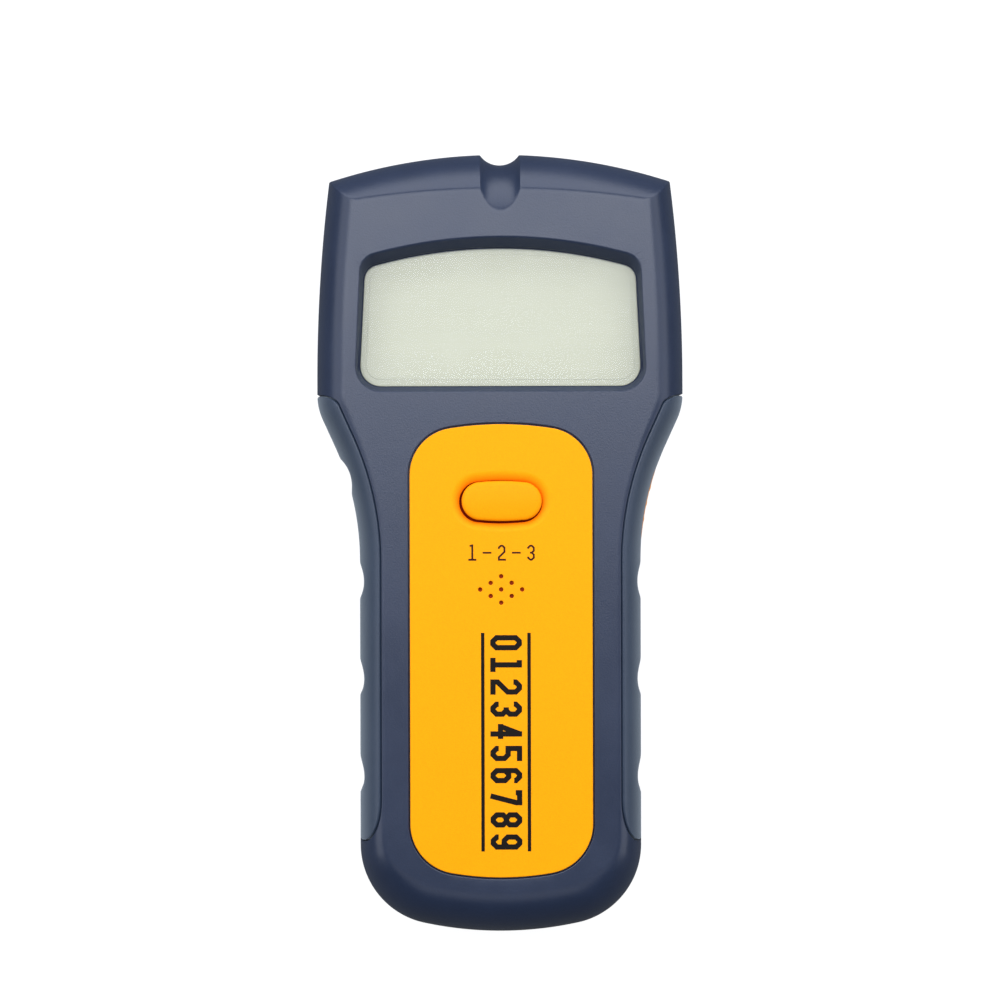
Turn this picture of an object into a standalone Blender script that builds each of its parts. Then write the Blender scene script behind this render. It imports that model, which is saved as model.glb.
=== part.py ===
"""Hand-held stud finder, lying on its back with the display up.

The origin is on the resting plane under the centre of the body. +Z points out of the
display face, +Y towards the sensing head and +X to the side with the scan button.
Sizes are written in millimetres; meshes and places become metres through MM.
"""

import math

import bmesh
import bpy
from mathutils import Matrix, Vector

MM = 0.001
GAP = 0.3  # between pieces that touch on the real object

# Body
LENGTH = 155.0
TOP_Y, BOTTOM_Y = LENGTH / 2, -LENGTH / 2
HEAD_HALF_WIDTH = 36.5
HANDLE_HALF_WIDTH = 28.05
FRONT_Z, REAR_Z, SPLIT_Z = 28.0, 0.8, 14.0
WALL = 2.2
FRONT_WALL = 2.4
REAR_ROUND = 4.5
REAR_DRAFT = math.tan(math.radians(1.2))

# Outline seen from the front
CORNER_Y = 72.0
HEAD_SIDE_ARC = 325.0
HEAD_SIDE_END_Y = 32.0
SHOULDER_Y, SHOULDER_ROUND = 26.9, 12.0
NECK_Y, NECK_ARC = 8.4, 55.0
BOTTOM_ARC, BOTTOM_ROUND = 72.6, 16.0

# How far the front edge rolls in from the outline
HEAD_ROLL, HANDLE_ROLL, BOTTOM_ROLL = 6.5, 5.6, 10.0
TOP_BEVEL, CORNER_BEVEL = 8.4, 5.05
TOP_BEVEL_END = 0.75  # square of the sine of the angle where the top bevel meets the face

# Marking notch in the top edge
NOTCH_HALF_WIDTH, NOTCH_DEPTH = 3.9, 2.1
NOTCH_RADIUS = (NOTCH_HALF_WIDTH**2 + NOTCH_DEPTH**2) / (2 * NOTCH_DEPTH)

# Side grips
GRIP_TOP_Y, GRIP_BOTTOM_Y = 29.0, -58.6
GRIP_REACH = 4.3
GRIP_TOP_ROUND, GRIP_BOTTOM_ROUND = 3.6, 8.5
GRIP_THICK = 2.2
FINGER_RESTS = (13.3, -7.5, -26.7, -45.95)
FINGER_RADIUS, FINGER_DEPTH = 6.1, 1.07

# Display window
WINDOW_LOW_X, WINDOW_HIGH_X = 27.7, 26.85
WINDOW_LOW_Y, WINDOW_TOP_Y, WINDOW_ARC = 30.6, 58.3, 93.0
WINDOW_LOW_ROUND, WINDOW_TOP_ROUND = 4.3, 3.2
WINDOW_BEVEL = 1.1
WINDOW_RIM_Z = 24.8
LENS_OVERLAP, LENS_THICK = 1.7, 1.0

# Yellow face plate
PLATE_HALF_WIDTH, PLATE_TOP_Y, PLATE_BOTTOM_Y = 17.75, 23.2, -64.85
PLATE_TOP_ARC, PLATE_TOP_ROUND = 63.0, 9.2
PLATE_BOTTOM_ARC, PLATE_BOTTOM_ROUND = 56.0, 9.7
PLATE_THICK, PLATE_PROUD = 1.0, 0.1
POCKET_FLOOR_Z = 26.8
SOUND_HOLE_Y, SOUND_HOLE_RADIUS = -8.9, 0.43
SOUND_PITCH_X, SOUND_PITCH_Y = 2.04, 1.28

# Select button
SELECT_Y = 8.1
SELECT_HALF_LENGTH, SELECT_HALF_HEIGHT = 7.95, 3.98
SELECT_TOP_Z = 28.5
DISH_WIDTH, DISH_DEPTH = 2.1, 0.75

# Scan button on the right flank
SCAN_Y = 7.7
SCAN_HALF_LENGTH, SCAN_HALF_HEIGHT = 9.2, 4.5
SCAN_PROUD = 0.22
SCAN_FLANGE_DEPTH, SCAN_FLANGE_THICK, SCAN_STEM_DEPTH = 5.9, 1.2, 8.3
SCAN_SWITCH_DEPTH = 13.2

# Boards, switches and display stack
BOARD_Z, BOARD_THICK = 17.0, 1.6
BOARD_TOP = BOARD_Z + BOARD_THICK
ON_BOARD = BOARD_TOP + GAP
UNDER_BOARD = BOARD_Z - GAP
BOARD_SCREWS = [(19.0, 63.5), (-19.0, 63.5), (17.3, -8.4), (-17.3, -8.4)]
LCD_HALF_WIDTH, LCD_LOW_Y, LCD_HIGH_Y = 27.9, 30.0, 59.4

# Case screws, as x, y
CASE_SCREWS = [(27.3, 64.3), (-27.3, 64.3), (21.9, -63.5), (-21.9, -63.5)]

# Battery, a common nine volt block, and its bay
BATTERY_SIZE = (26.5, 46.4, 17.5)
BATTERY_LOW_Y, BATTERY_LOW_Z = -68.5, 4.7
BAY_HALF_WIDTH, BAY_WALL = 13.9, 1.2
BAY_LOW_Y, BAY_HIGH_Y, BAY_TOP_Z = -69.0, -16.2, 23.3
DOOR_HALF_WIDTH, DOOR_TOP_Y = 16.3, -17.0
RAIL_HALF_WIDTH, RAIL_Z, RAIL_THICK = 17.7, 3.3, 0.8

COLOURS = {
    "navy_shell": ((0.050, 0.066, 0.112), 0.48, 0.0),
    "navy_grip": ((0.045, 0.065, 0.100), 0.62, 0.0),
    "yellow": ((1.000, 0.445, 0.012), 0.42, 0.0),
    "orange": ((0.900, 0.330, 0.010), 0.45, 0.0),
    "clear": ((0.850, 0.880, 0.860), 0.05, 0.0),
    "lcd": ((0.640, 0.680, 0.560), 0.25, 0.0),
    "diffuser": ((0.850, 0.850, 0.820), 0.50, 0.0),
    "board_green": ((0.020, 0.140, 0.050), 0.40, 0.0),
    "black": ((0.020, 0.020, 0.022), 0.50, 0.0),
    "steel": ((0.560, 0.560, 0.580), 0.30, 1.0),
    "copper": ((0.720, 0.330, 0.160), 0.35, 1.0),
    "ivory": ((0.780, 0.740, 0.640), 0.50, 0.0),
    "felt": ((0.030, 0.030, 0.034), 0.95, 0.0),
    "foam": ((0.120, 0.120, 0.130), 0.95, 0.0),
    "battery_blue": ((0.020, 0.070, 0.200), 0.35, 0.0),
    "red": ((0.550, 0.020, 0.015), 0.45, 0.0),
}


# ---- meshes ----------------------------------------------------------------


def material(name):
    """The named finish, made once."""
    found = bpy.data.materials.get(name)
    if found:
        return found
    colour, roughness, metallic = COLOURS[name]
    made = bpy.data.materials.new(name)
    made.use_nodes = True
    shader = made.node_tree.nodes["Principled BSDF"]
    shader.inputs["Base Color"].default_value = (*colour, 1.0)
    shader.inputs["Roughness"].default_value = roughness
    shader.inputs["Metallic"].default_value = metallic
    return made


def mesh_object(name, points, faces, finish=None, place=(0, 0, 0)):
    """An object from points in millimetres, measured from place. With no finish it is a cutter."""
    mesh = bpy.data.meshes.new(name)
    mesh.from_pydata([Vector(p) * MM for p in points], [], faces)
    work = bmesh.new()
    work.from_mesh(mesh)
    bmesh.ops.recalc_face_normals(work, faces=work.faces)
    work.to_mesh(mesh)
    work.free()
    obj = bpy.data.objects.new(name, mesh)
    obj.location = Vector(place) * MM
    bpy.context.scene.collection.objects.link(obj)
    if finish is None:
        obj.hide_render = True
        obj.display_type = "WIRE"
    else:
        mesh.materials.append(material(finish))
        mesh.shade_smooth()
        mesh.set_sharp_from_angle(angle=math.radians(32))
    return obj


def loft(name, rings, finish=None, place=(0, 0, 0)):
    """Closed rings of equally many points, joined in order and capped at both ends."""
    count = len(rings[0])
    points = [point for ring in rings for point in ring]
    faces = [tuple(range(count)), tuple(range(len(points) - count, len(points)))]
    for low in range(0, len(points) - count, count):
        for i in range(count):
            j = (i + 1) % count
            faces.append((low + i, low + j, low + count + j, low + count + i))
    return mesh_object(name, points, faces, finish, place)


def prism(name, outline, low, high, finish=None, place=(0, 0, 0)):
    rings = [[(x, y, z) for x, y in outline] for z in (low, high)]
    return loft(name, rings, finish, place)


def box(name, low, high, finish=None, place=(0, 0, 0)):
    (x0, y0, z0), (x1, y1, z1) = low, high
    outline = [(x0, y0), (x1, y0), (x1, y1), (x0, y1)]
    return prism(name, outline, z0, z1, finish, place)


def circle(radius, sides=16, centre=(0.0, 0.0)):
    turn = 2 * math.pi / sides
    return [
        (centre[0] + radius * math.cos(i * turn), centre[1] + radius * math.sin(i * turn))
        for i in range(sides)
    ]


def cylinder(name, radius, low, high, centre, finish=None, sides=16):
    return prism(name, circle(radius, sides), low, high, finish, (*centre, 0))


def boolean(obj, other, operation="DIFFERENCE"):
    """other cuts, joins or limits obj. The helper stays in the scene as a wire."""
    step = obj.modifiers.new(f"{operation.lower()}_{other.name}", "BOOLEAN")
    step.operation = operation
    step.object = other
    other.hide_render = True
    other.display_type = "WIRE"
    return obj


def joined(name, parts):
    """Several cutters that don't touch each other, as one cutter."""
    work = bmesh.new()
    for part in parts:
        start = len(work.verts)
        work.from_mesh(part.data)
        work.verts.ensure_lookup_table()
        bmesh.ops.transform(work, matrix=part.matrix_basis, verts=work.verts[start:])
        bpy.data.objects.remove(part)
    mesh = bpy.data.meshes.new(name)
    work.to_mesh(mesh)
    work.free()
    obj = bpy.data.objects.new(name, mesh)
    bpy.context.scene.collection.objects.link(obj)
    obj.hide_render = True
    obj.display_type = "WIRE"
    return obj


# ---- outlines --------------------------------------------------------------


def arc(centre, radius, start, end, steps):
    """Points on an arc, angles in radians, both ends included."""
    return [
        (
            centre[0] + radius * math.cos(start + (end - start) * i / steps),
            centre[1] + radius * math.sin(start + (end - start) * i / steps),
        )
        for i in range(steps + 1)
    ]


def corner_on_arch(half_width, apex_y, arch, rounding):
    """Centre of the round between the line x = half_width and an arch through (0, apex_y).
    The arch bulges up if arch is positive and down if it is negative."""
    sign = 1 if arch > 0 else -1
    arch_y = apex_y - arch
    x = half_width - rounding
    y = arch_y + sign * math.sqrt((abs(arch) - rounding) ** 2 - x**2)
    return (x, y), (0.0, arch_y)


def arched_end(half_width, apex_y, arch, rounding, corner_steps, arch_steps):
    """Half of an arched end, from its apex on x = 0 to its straight side."""
    sign = 1 if arch > 0 else -1
    centre, middle = corner_on_arch(half_width, apex_y, arch, rounding)
    meet = math.atan2(centre[1] - middle[1], centre[0] - middle[0])
    top = arc(middle, abs(arch), sign * math.pi / 2, meet, arch_steps)
    side = arc(centre, rounding, meet, 0.0, corner_steps)
    return top[:-1] + side


def mirrored(half):
    """A closed outline from its right half, which runs from x = 0 to x = 0."""
    return half + [(-x, y) for x, y in reversed(half) if abs(x) > 1e-6]


def stadium(half_length, half_height, steps=6):
    """A pill lying along x, its long sides bowed by a twentieth of its height."""
    bow = half_height * 0.05
    end = half_height - bow
    right = arc((half_length - end, 0), end, -math.pi / 2, math.pi / 2, 2 * steps)
    top = (0.0, half_height)
    bottom = (0.0, -half_height)
    left = [(-x, -y) for x, y in right]
    return right + [top] + left + [bottom]


def plate_outline(grow=0.0):
    half = PLATE_HALF_WIDTH + grow
    top = arched_end(
        half, PLATE_TOP_Y + grow, PLATE_TOP_ARC + grow, PLATE_TOP_ROUND + grow, 7, 3
    )
    low = arched_end(
        half,
        PLATE_BOTTOM_Y - grow,
        -PLATE_BOTTOM_ARC - grow,
        PLATE_BOTTOM_ROUND + grow,
        7,
        3,
    )
    return mirrored(top + low[::-1])


def window_outline(grow=0.0, grow_top=None):
    """The arched window. Its sides lean in a little towards the top."""
    grow_top = grow if grow_top is None else grow_top
    low_x, high_x = WINDOW_LOW_X + grow, WINDOW_HIGH_X + grow
    low_round, top_round = WINDOW_LOW_ROUND + grow, WINDOW_TOP_ROUND + grow
    top = arched_end(
        high_x, WINDOW_TOP_Y + grow_top, WINDOW_ARC + grow_top, top_round, 5, 6
    )
    low_y = WINDOW_LOW_Y - grow
    centre = (low_x - low_round, low_y + low_round)
    low = arc(centre, low_round, 0.0, -math.pi / 2, 5) + [(0.0, low_y)]
    return mirrored(top + low)


# ---- the body as rings at constant z ---------------------------------------


def ease(value, low, high):
    """0 below low, 1 above high, smooth between."""
    share = min(1.0, max(0.0, (value - low) / (high - low)))
    return share * share * (3 - 2 * share)


def side_outline():
    """Right side of the body from the head's corner to the bottom centre, as (x, y, nx, ny)."""
    found = []

    def add(points, centre, outward=1):
        for x, y in points:
            reach = math.hypot(x - centre[0], y - centre[1])
            found.append(
                (x, y, outward * (x - centre[0]) / reach, outward * (y - centre[1]) / reach)
            )

    centre = (HEAD_HALF_WIDTH - HEAD_SIDE_ARC, HEAD_SIDE_END_Y)
    start = math.asin((CORNER_Y - HEAD_SIDE_END_Y) / HEAD_SIDE_ARC)
    add(arc(centre, HEAD_SIDE_ARC, start, 0.0, 4), centre)
    # The neck's slope touches the shoulder round and the neck arc.
    lean = math.atan2(HEAD_HALF_WIDTH - HANDLE_HALF_WIDTH, SHOULDER_Y - NECK_Y)
    shoulder_tangent = SHOULDER_ROUND * math.tan(lean / 2)
    centre = (HEAD_HALF_WIDTH - SHOULDER_ROUND, SHOULDER_Y + shoulder_tangent)
    add(arc(centre, SHOULDER_ROUND, 0.0, -lean, 3), centre)
    neck_tangent = NECK_ARC * math.tan(lean / 2)
    centre = (HANDLE_HALF_WIDTH + NECK_ARC, NECK_Y - neck_tangent)
    add(arc(centre, NECK_ARC, math.pi - lean, math.pi, 6), centre, -1)
    found.append((HANDLE_HALF_WIDTH, -30.0, 1.0, 0.0))
    corner, middle = corner_on_arch(
        HANDLE_HALF_WIDTH, BOTTOM_Y, -BOTTOM_ARC, BOTTOM_ROUND
    )
    meet = math.atan2(corner[1] - middle[1], corner[0] - middle[0])
    add(arc(corner, BOTTOM_ROUND, 0.0, meet, 7), corner)
    add(arc(middle, BOTTOM_ARC, meet, -math.pi / 2, 3)[1:], middle)
    return found


def roll_width(y):
    """How far the front edge rolls in at that height of the outline."""
    width = BOTTOM_ROLL + (HANDLE_ROLL - BOTTOM_ROLL) * ease(y, -74.0, -56.0)
    return width + (HEAD_ROLL - HANDLE_ROLL) * ease(y, 10.0, 34.0)


def level(z, inset):
    """Shape of the edge at height z, for a body whose skin is inset everywhere: the share of
    the side roll, the share of the top bevel, the slope of the top bevel and the rear inset."""
    if z >= SPLIT_Z:
        height = FRONT_Z - inset - SPLIT_Z
        up = min(1.0, (z - SPLIT_Z) / height)
        side = 1 - math.sqrt(1 - up * up)
        root = math.sqrt(1 - TOP_BEVEL_END * up * up)
        full = 1 - math.sqrt(1 - TOP_BEVEL_END)
        rate = TOP_BEVEL_END * up / root / full
        slope = math.atan2(height, TOP_BEVEL * rate)
        return side, (1 - root) / full, slope, 0.0
    low = REAR_Z + inset + REAR_ROUND
    back = (SPLIT_Z - z) * REAR_DRAFT
    if z < low:
        drop = min(1.0, (low - z) / REAR_ROUND)
        back += REAR_ROUND * (1 - math.sqrt(1 - drop * drop))
    return 0.0, 0.0, math.pi / 2, back


def body_ring(z, inset=0.0, grip_inset=0.0):
    """The closed outline of the body at height z, pulled in by inset, and by grip_inset more
    beside the grips. The top edge is the circle through its apex and the head's corners."""
    side_share, top_share, slope, back = level(z, inset)
    shrink = back + inset
    corner_y = CORNER_Y - CORNER_BEVEL * top_share - shrink
    reach = HEAD_SIDE_ARC - HEAD_ROLL * side_share - shrink
    corner_x = HEAD_HALF_WIDTH - HEAD_SIDE_ARC + math.sqrt(
        reach**2 - (corner_y - HEAD_SIDE_END_Y) ** 2
    )
    apex = TOP_Y - TOP_BEVEL * top_share - shrink
    drop = apex - corner_y
    radius = (corner_x**2 + drop**2) / (2 * drop)

    def edge_y(x):
        return apex - radius + math.sqrt(radius**2 - x**2)

    spread = math.asin(NOTCH_HALF_WIDTH / NOTCH_RADIUS)
    half_width = NOTCH_HALF_WIDTH + inset
    top = []
    for i in range(6):
        x = NOTCH_RADIUS * math.sin(spread * i / 5)
        depth = math.sqrt(NOTCH_RADIUS**2 - x**2) - (NOTCH_RADIUS - NOTCH_DEPTH)
        deep = depth / math.sin(slope) + inset * (1 / math.sin(slope) - 1) * (i < 5)
        wide = x * half_width / NOTCH_HALF_WIDTH
        top.append((wide, edge_y(wide) - deep))
    steps = 7
    for i in range(1, steps + 1):
        x = half_width + (corner_x - half_width) * i / steps
        top.append((x, edge_y(x)))
    sides = []
    for x, y, nx, ny in side_outline()[1:]:
        beside = ease(y, GRIP_BOTTOM_Y - 4, GRIP_BOTTOM_Y + 2) * (
            1 - ease(y, GRIP_TOP_Y - 1, GRIP_TOP_Y + 4)
        )
        pull = roll_width(y) * side_share + shrink + grip_inset * beside
        sides.append((x - nx * pull, y - ny * pull))
    return mirrored(top + sides)


def body(name, low, high, inset=0.0, grip_inset=0.0, finish=None):
    """The body between two heights, as a stack of rings that follow its rounded edges."""
    rear, front = REAR_Z + inset, FRONT_Z - inset
    heights = [rear + REAR_ROUND * (1 - math.cos(math.radians(a))) for a in (0, 35, 62, 90)]
    heights += [
        SPLIT_Z + (front - SPLIT_Z) * math.sin(math.radians(a))
        for a in (0, 20, 38, 54, 70, 90)
    ]
    kept = [z for z in heights if low + 0.4 < z < high - 0.4]
    rings = [
        [(x, y, z) for x, y in body_ring(z, inset, grip_inset)]
        for z in [max(low, rear), *kept, min(high, front)]
    ]
    return loft(name, rings, finish)


def grip_zone(name, side, extra=0.0):
    """An upright block that holds one grip: from the seam on the face to outside the body."""
    samples = []
    points = side_outline()
    for (x0, y0, nx0, ny0), (x1, y1, nx1, ny1) in zip(points, points[1:]):
        pieces = max(1, int(math.hypot(x1 - x0, y1 - y0) / 1.2))
        for i in range(pieces):
            t = i / pieces
            samples.append(
                (x0 + (x1 - x0) * t, y0 + (y1 - y0) * t, nx0 + (nx1 - nx0) * t,
                 ny0 + (ny1 - ny0) * t)
            )
    top_y, low_y = GRIP_TOP_Y + extra, GRIP_BOTTOM_Y - extra
    seam, outer = [], []
    for x, y, nx, ny in samples:
        if not low_y < y < top_y:
            continue
        in_top = min(1.0, (top_y - y) / GRIP_TOP_ROUND)
        in_low = min(1.0, (y - low_y) / GRIP_BOTTOM_ROUND)
        if -46.0 < y < -6.0 and int(y) % 10:
            continue
        share = math.sqrt(1 - (1 - in_top) ** 2) * math.sqrt(1 - (1 - in_low) ** 2)
        reach = (GRIP_REACH + extra) * share
        seam.append((x - nx * reach, y - ny * reach))
        outer.append((x + nx * 4, y + ny * 4))
    first, last = (HEAD_HALF_WIDTH + 0.1, top_y), (HANDLE_HALF_WIDTH + 0.1, low_y)
    outline = [first, *seam, last, (last[0] + 4, low_y), *outer[::-1], (first[0] + 4, top_y)]
    return prism(name, [(side * x, y) for x, y in outline], -2.0, 32.0)


def finger_notches(name, side):
    """Upright cylinders that bite finger rests out of a grip. The right grip has none where
    its button is."""
    cuts = []
    for i, y in enumerate(FINGER_RESTS):
        if side > 0 and i == 0:
            continue
        edge = flank_x(y)
        lean = flank_lean(y)
        out = FINGER_RADIUS - FINGER_DEPTH
        centre = (side * (edge + out * math.cos(lean)), y - out * math.sin(lean))
        cuts.append(cylinder(f"{name}_{i}", FINGER_RADIUS, -1.0, 30.0, centre, None, 28))
    return joined(name, cuts)


def flank_lean(y):
    """Angle between the flank and the Y axis on the neck and the handle."""
    lean = math.atan2(HEAD_HALF_WIDTH - HANDLE_HALF_WIDTH, SHOULDER_Y - NECK_Y)
    low_y = NECK_Y - NECK_ARC * math.tan(lean / 2)
    return math.asin(max(0.0, (y - low_y)) / NECK_ARC)


def flank_x(y):
    """Half width of the neck and the handle."""
    return HANDLE_HALF_WIDTH + NECK_ARC * (1 - math.cos(flank_lean(y)))


# ---- casing ----------------------------------------------------------------


def scan_frame():
    """Turns shapes drawn for the scan button: x outwards, y along the flank, z up."""
    lean = flank_lean(SCAN_Y)
    turn = Matrix.Rotation(-lean, 4, "Z")
    place = Matrix.Translation(Vector((flank_x(SCAN_Y), SCAN_Y, SPLIT_Z)) * MM)
    return place @ turn


def scan_block(name, near, far, grow=0.0, finish=None):
    """A pill in the flank's plane, from depth near to depth far inside the outline."""
    outline = stadium(SCAN_HALF_LENGTH + grow, SCAN_HALF_HEIGHT + grow, 5)
    rings = [[(-depth, y, z) for y, z in outline] for depth in (far, near)]
    block = loft(name, rings, finish)
    block.matrix_world = scan_frame()
    return block


def tapered_cut(name, steps):
    """A cutter from (outline, z) pairs."""
    return loft(name, [[(x, y, z) for x, y in outline] for outline, z in steps])


def grip_pocket(name, side):
    """What the shells lose so that a grip sits flush in them."""
    pocket = grip_zone(name, side, GAP)
    return boolean(pocket, body(f"{name}_floor", 0, 40, GRIP_THICK + GAP))


def make_front_shell():
    shell = body("front_shell", SPLIT_Z + GAP / 2, FRONT_Z, finish="navy_shell")
    ceiling = FRONT_Z - FRONT_WALL
    cavity = body("front_cavity", SPLIT_Z - 3, ceiling, FRONT_WALL, GRIP_THICK + GAP)
    boolean(shell, cavity)
    collar = prism("window_collar", window_outline(3.2), WINDOW_RIM_Z, ceiling + 0.6)
    boolean(shell, collar, "UNION")
    for i, (x, y) in enumerate(CASE_SCREWS):
        top = ceiling + 0.5 if y > 0 else ceiling - 2.0
        post = cylinder(f"front_boss_{i}", 2.7, SPLIT_Z + GAP, top, (x, y))
        boolean(shell, post, "UNION")
    for i, (x, y) in enumerate(BOARD_SCREWS):
        post = cylinder(f"board_post_{i}", 2.1, ON_BOARD, ceiling + 0.5, (x, y), None, 12)
        boolean(shell, post, "UNION")
    pilots = [
        cylinder(f"pilot_{i}", 1.35, SPLIT_Z - 1, 22.5, (x, y), None, 10)
        for i, (x, y) in enumerate(CASE_SCREWS)
    ]
    pilots += [
        cylinder(f"board_pilot_{i}", 1.1, ON_BOARD - 1, 24.0, (x, y), None, 8)
        for i, (x, y) in enumerate(BOARD_SCREWS)
    ]
    boolean(shell, joined("screw_pilots", pilots))
    window = tapered_cut(
        "window_cut",
        [
            (window_outline(0.0), WINDOW_RIM_Z - 2),
            (window_outline(0.0), WINDOW_RIM_Z),
            (window_outline(WINDOW_BEVEL), FRONT_Z),
            (window_outline(WINDOW_BEVEL), FRONT_Z + 2),
        ],
    )
    boolean(shell, window)
    boolean(shell, prism("plate_pocket", plate_outline(GAP), POCKET_FLOOR_Z, FRONT_Z + 2))
    pill = stadium(SELECT_HALF_LENGTH + 0.5, SELECT_HALF_HEIGHT + 0.5)
    hole = prism("select_hole", pill, ceiling - 2, FRONT_Z, None, (0, SELECT_Y, 0))
    sound = cylinder("sound_hole", 5.2, ceiling - 2, FRONT_Z, (0, SOUND_HOLE_Y))
    boolean(shell, joined("face_holes", [hole, sound]))
    for side in (1, -1):
        boolean(shell, grip_pocket(f"front_pocket_{'right' if side > 0 else 'left'}", side))
    boolean(shell, scan_block("front_scan_hole", -4.0, 8.0, GAP))
    return shell


def make_bay():
    """The battery bay's walls and the door's rails, which stand in the rear shell."""
    wall = BAY_HALF_WIDTH + BAY_WALL
    low, high = BAY_LOW_Y - BAY_WALL, BAY_HIGH_Y + BAY_WALL
    rail_top = RAIL_Z + RAIL_THICK + GAP
    roof = BAY_TOP_Z + BAY_WALL
    guide = RAIL_HALF_WIDTH + GAP
    parts = [
        box("bay_roof", (-wall, low, BAY_TOP_Z), (wall, high, roof)),
        box("bay_head_wall", (-wall, BAY_HIGH_Y, 2.4), (wall, high, roof)),
        box("bay_end_wall", (-wall, low, rail_top), (wall, BAY_LOW_Y, roof)),
    ]
    for side in (1, -1):
        xs = sorted((side * BAY_HALF_WIDTH, side * wall))
        parts.append(box("bay_side", (xs[0], low, rail_top), (xs[1], high, roof)))
        xs = sorted((side * (wall - 0.6), side * (guide + BAY_WALL)))
        parts.append(
            box("rail_roof", (xs[0], low + 2, rail_top), (xs[1], high, rail_top + BAY_WALL))
        )
        xs = sorted((side * guide, side * (guide + BAY_WALL)))
        parts.append(box("rail_leg", (xs[0], low + 2, 2.4), (xs[1], high, rail_top + 0.6)))
    return parts


PAD_SLOTS = [
    (x, y, half_x, half_y)
    for x, y, half_x, half_y in ((27.0, 47.0, 2.2, 14.0), (20.3, -42.0, 1.6, 6.0))
]


def pad_blocks(prefix, low, high, grow, finish=None):
    blocks = []
    for x, y, half_x, half_y in PAD_SLOTS:
        for side in (1, -1):
            upright = [(b, a) for a, b in stadium(half_y + grow, half_x + grow, 3)]
            name = f"{prefix}_{len(blocks) + 1}"
            blocks.append(prism(name, upright, low, high, finish, (side * x, y, 0)))
    return blocks


def make_rear_shell():
    shell = body("rear_shell", REAR_Z, SPLIT_Z - GAP / 2, finish="navy_shell")
    cavity = body("rear_cavity", REAR_Z, SPLIT_Z + 3, WALL, GRIP_THICK + GAP + 0.2)
    boolean(shell, cavity)
    for i, (x, y) in enumerate(CASE_SCREWS):
        post = cylinder(f"rear_boss_{i}", 3.1, 2.4, SPLIT_Z - GAP, (x, y))
        boolean(shell, post, "UNION")
    for part in make_bay():
        boolean(shell, part, "UNION")
    boolean(shell, box("bay_trim", (-20, BOTTOM_Y, 18.5), (20, -62, 30)))
    holes = []
    for i, (x, y) in enumerate(CASE_SCREWS):
        profile = ((2.6, 0.0), (2.6, 3.5), (1.4, 3.5), (1.4, SPLIT_Z + 1))
        rings = [[(a, b, z) for a, b in circle(r, 12)] for r, z in profile]
        holes.append(loft(f"screw_hole_{i}", rings, None, (x, y, 0)))
    boolean(shell, joined("screw_holes", holes))
    edge, guide = DOOR_HALF_WIDTH + GAP, RAIL_HALF_WIDTH + GAP
    top = RAIL_Z + RAIL_THICK + GAP
    half = [(edge, -1.0), (edge, 2.5), (guide, RAIL_Z - GAP), (guide, top)]
    section = half + [(-x, z) for x, z in reversed(half)]
    ends = (BOTTOM_Y - 3, DOOR_TOP_Y + GAP)
    boolean(shell, loft("door_way", [[(x, y, z) for x, z in section] for y in ends]))
    boolean(shell, joined("pad_slots", pad_blocks("pad_slot", -1, 1.3, GAP)))
    boolean(shell, box("lead_slot", (-6, BAY_HIGH_Y - 1, 12), (6, BAY_HIGH_Y + 3, 21)))
    for side in (1, -1):
        boolean(shell, grip_pocket(f"rear_pocket_{'right' if side > 0 else 'left'}", side))
    boolean(shell, scan_block("rear_scan_hole", -4.0, 8.0, GAP))
    return shell


def make_grip(name, side):
    grip = body(name, REAR_Z, FRONT_Z, finish="navy_grip")
    boolean(grip, grip_zone(f"{name}_zone", side), "INTERSECT")
    boolean(grip, body(f"{name}_inside", 0, 40, GRIP_THICK))
    boolean(grip, finger_notches(f"{name}_fingers", side))
    if side > 0:
        boolean(grip, scan_block(f"{name}_hole", -4.0, 8.0, GAP))
    return grip


def make_face_plate():
    top = FRONT_Z + PLATE_PROUD
    plate = prism("face_plate", plate_outline(), top - PLATE_THICK, top, "yellow")
    dish = tapered_cut(
        "select_dish",
        [
            (stadium(SELECT_HALF_LENGTH + 0.35, SELECT_HALF_HEIGHT + 0.35), top - 3),
            (stadium(SELECT_HALF_LENGTH + 0.35, SELECT_HALF_HEIGHT + 0.35), top - DISH_DEPTH),
            (stadium(SELECT_HALF_LENGTH + DISH_WIDTH, SELECT_HALF_HEIGHT + DISH_WIDTH), top + 0.01),
            (stadium(SELECT_HALF_LENGTH + DISH_WIDTH, SELECT_HALF_HEIGHT + DISH_WIDTH), top + 2),
        ],
    )
    dish.location = Vector((0, SELECT_Y, 0)) * MM
    boolean(plate, dish)
    holes = []
    for i in range(-1, 2):
        for j in range(-1, 2):
            centre = ((i + j) * SOUND_PITCH_X, SOUND_HOLE_Y + (i - j) * SOUND_PITCH_Y)
            name = f"sound_{i}_{j}"
            holes.append(cylinder(name, SOUND_HOLE_RADIUS, 20, 30, centre, None, 10))
    boolean(plate, joined("sound_holes", holes))
    return plate


# ---- buttons and switches --------------------------------------------------


def make_select_button():
    """Cap, retaining flange and stem. Its origin is on the axis that it slides along."""
    shrunk = 0.7
    profile = (
        (-2.0, SELECT_TOP_Z - 4.9),
        (-2.0, SELECT_TOP_Z - 4.6),
        (1.5, SELECT_TOP_Z - 4.5),
        (1.5, SELECT_TOP_Z - 3.4),
        (0.0, SELECT_TOP_Z - 3.3),
        (0.0, SELECT_TOP_Z - 0.55),
        (-0.2, SELECT_TOP_Z - 0.2),
        (-shrunk, SELECT_TOP_Z),
    )
    rings = []
    for grow, z in profile:
        pill = stadium(SELECT_HALF_LENGTH + grow, SELECT_HALF_HEIGHT + grow)
        rings.append([(x, y, z - SELECT_TOP_Z) for x, y in pill])
    return loft("select_button", rings, "yellow", (0, SELECT_Y, SELECT_TOP_Z))


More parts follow.
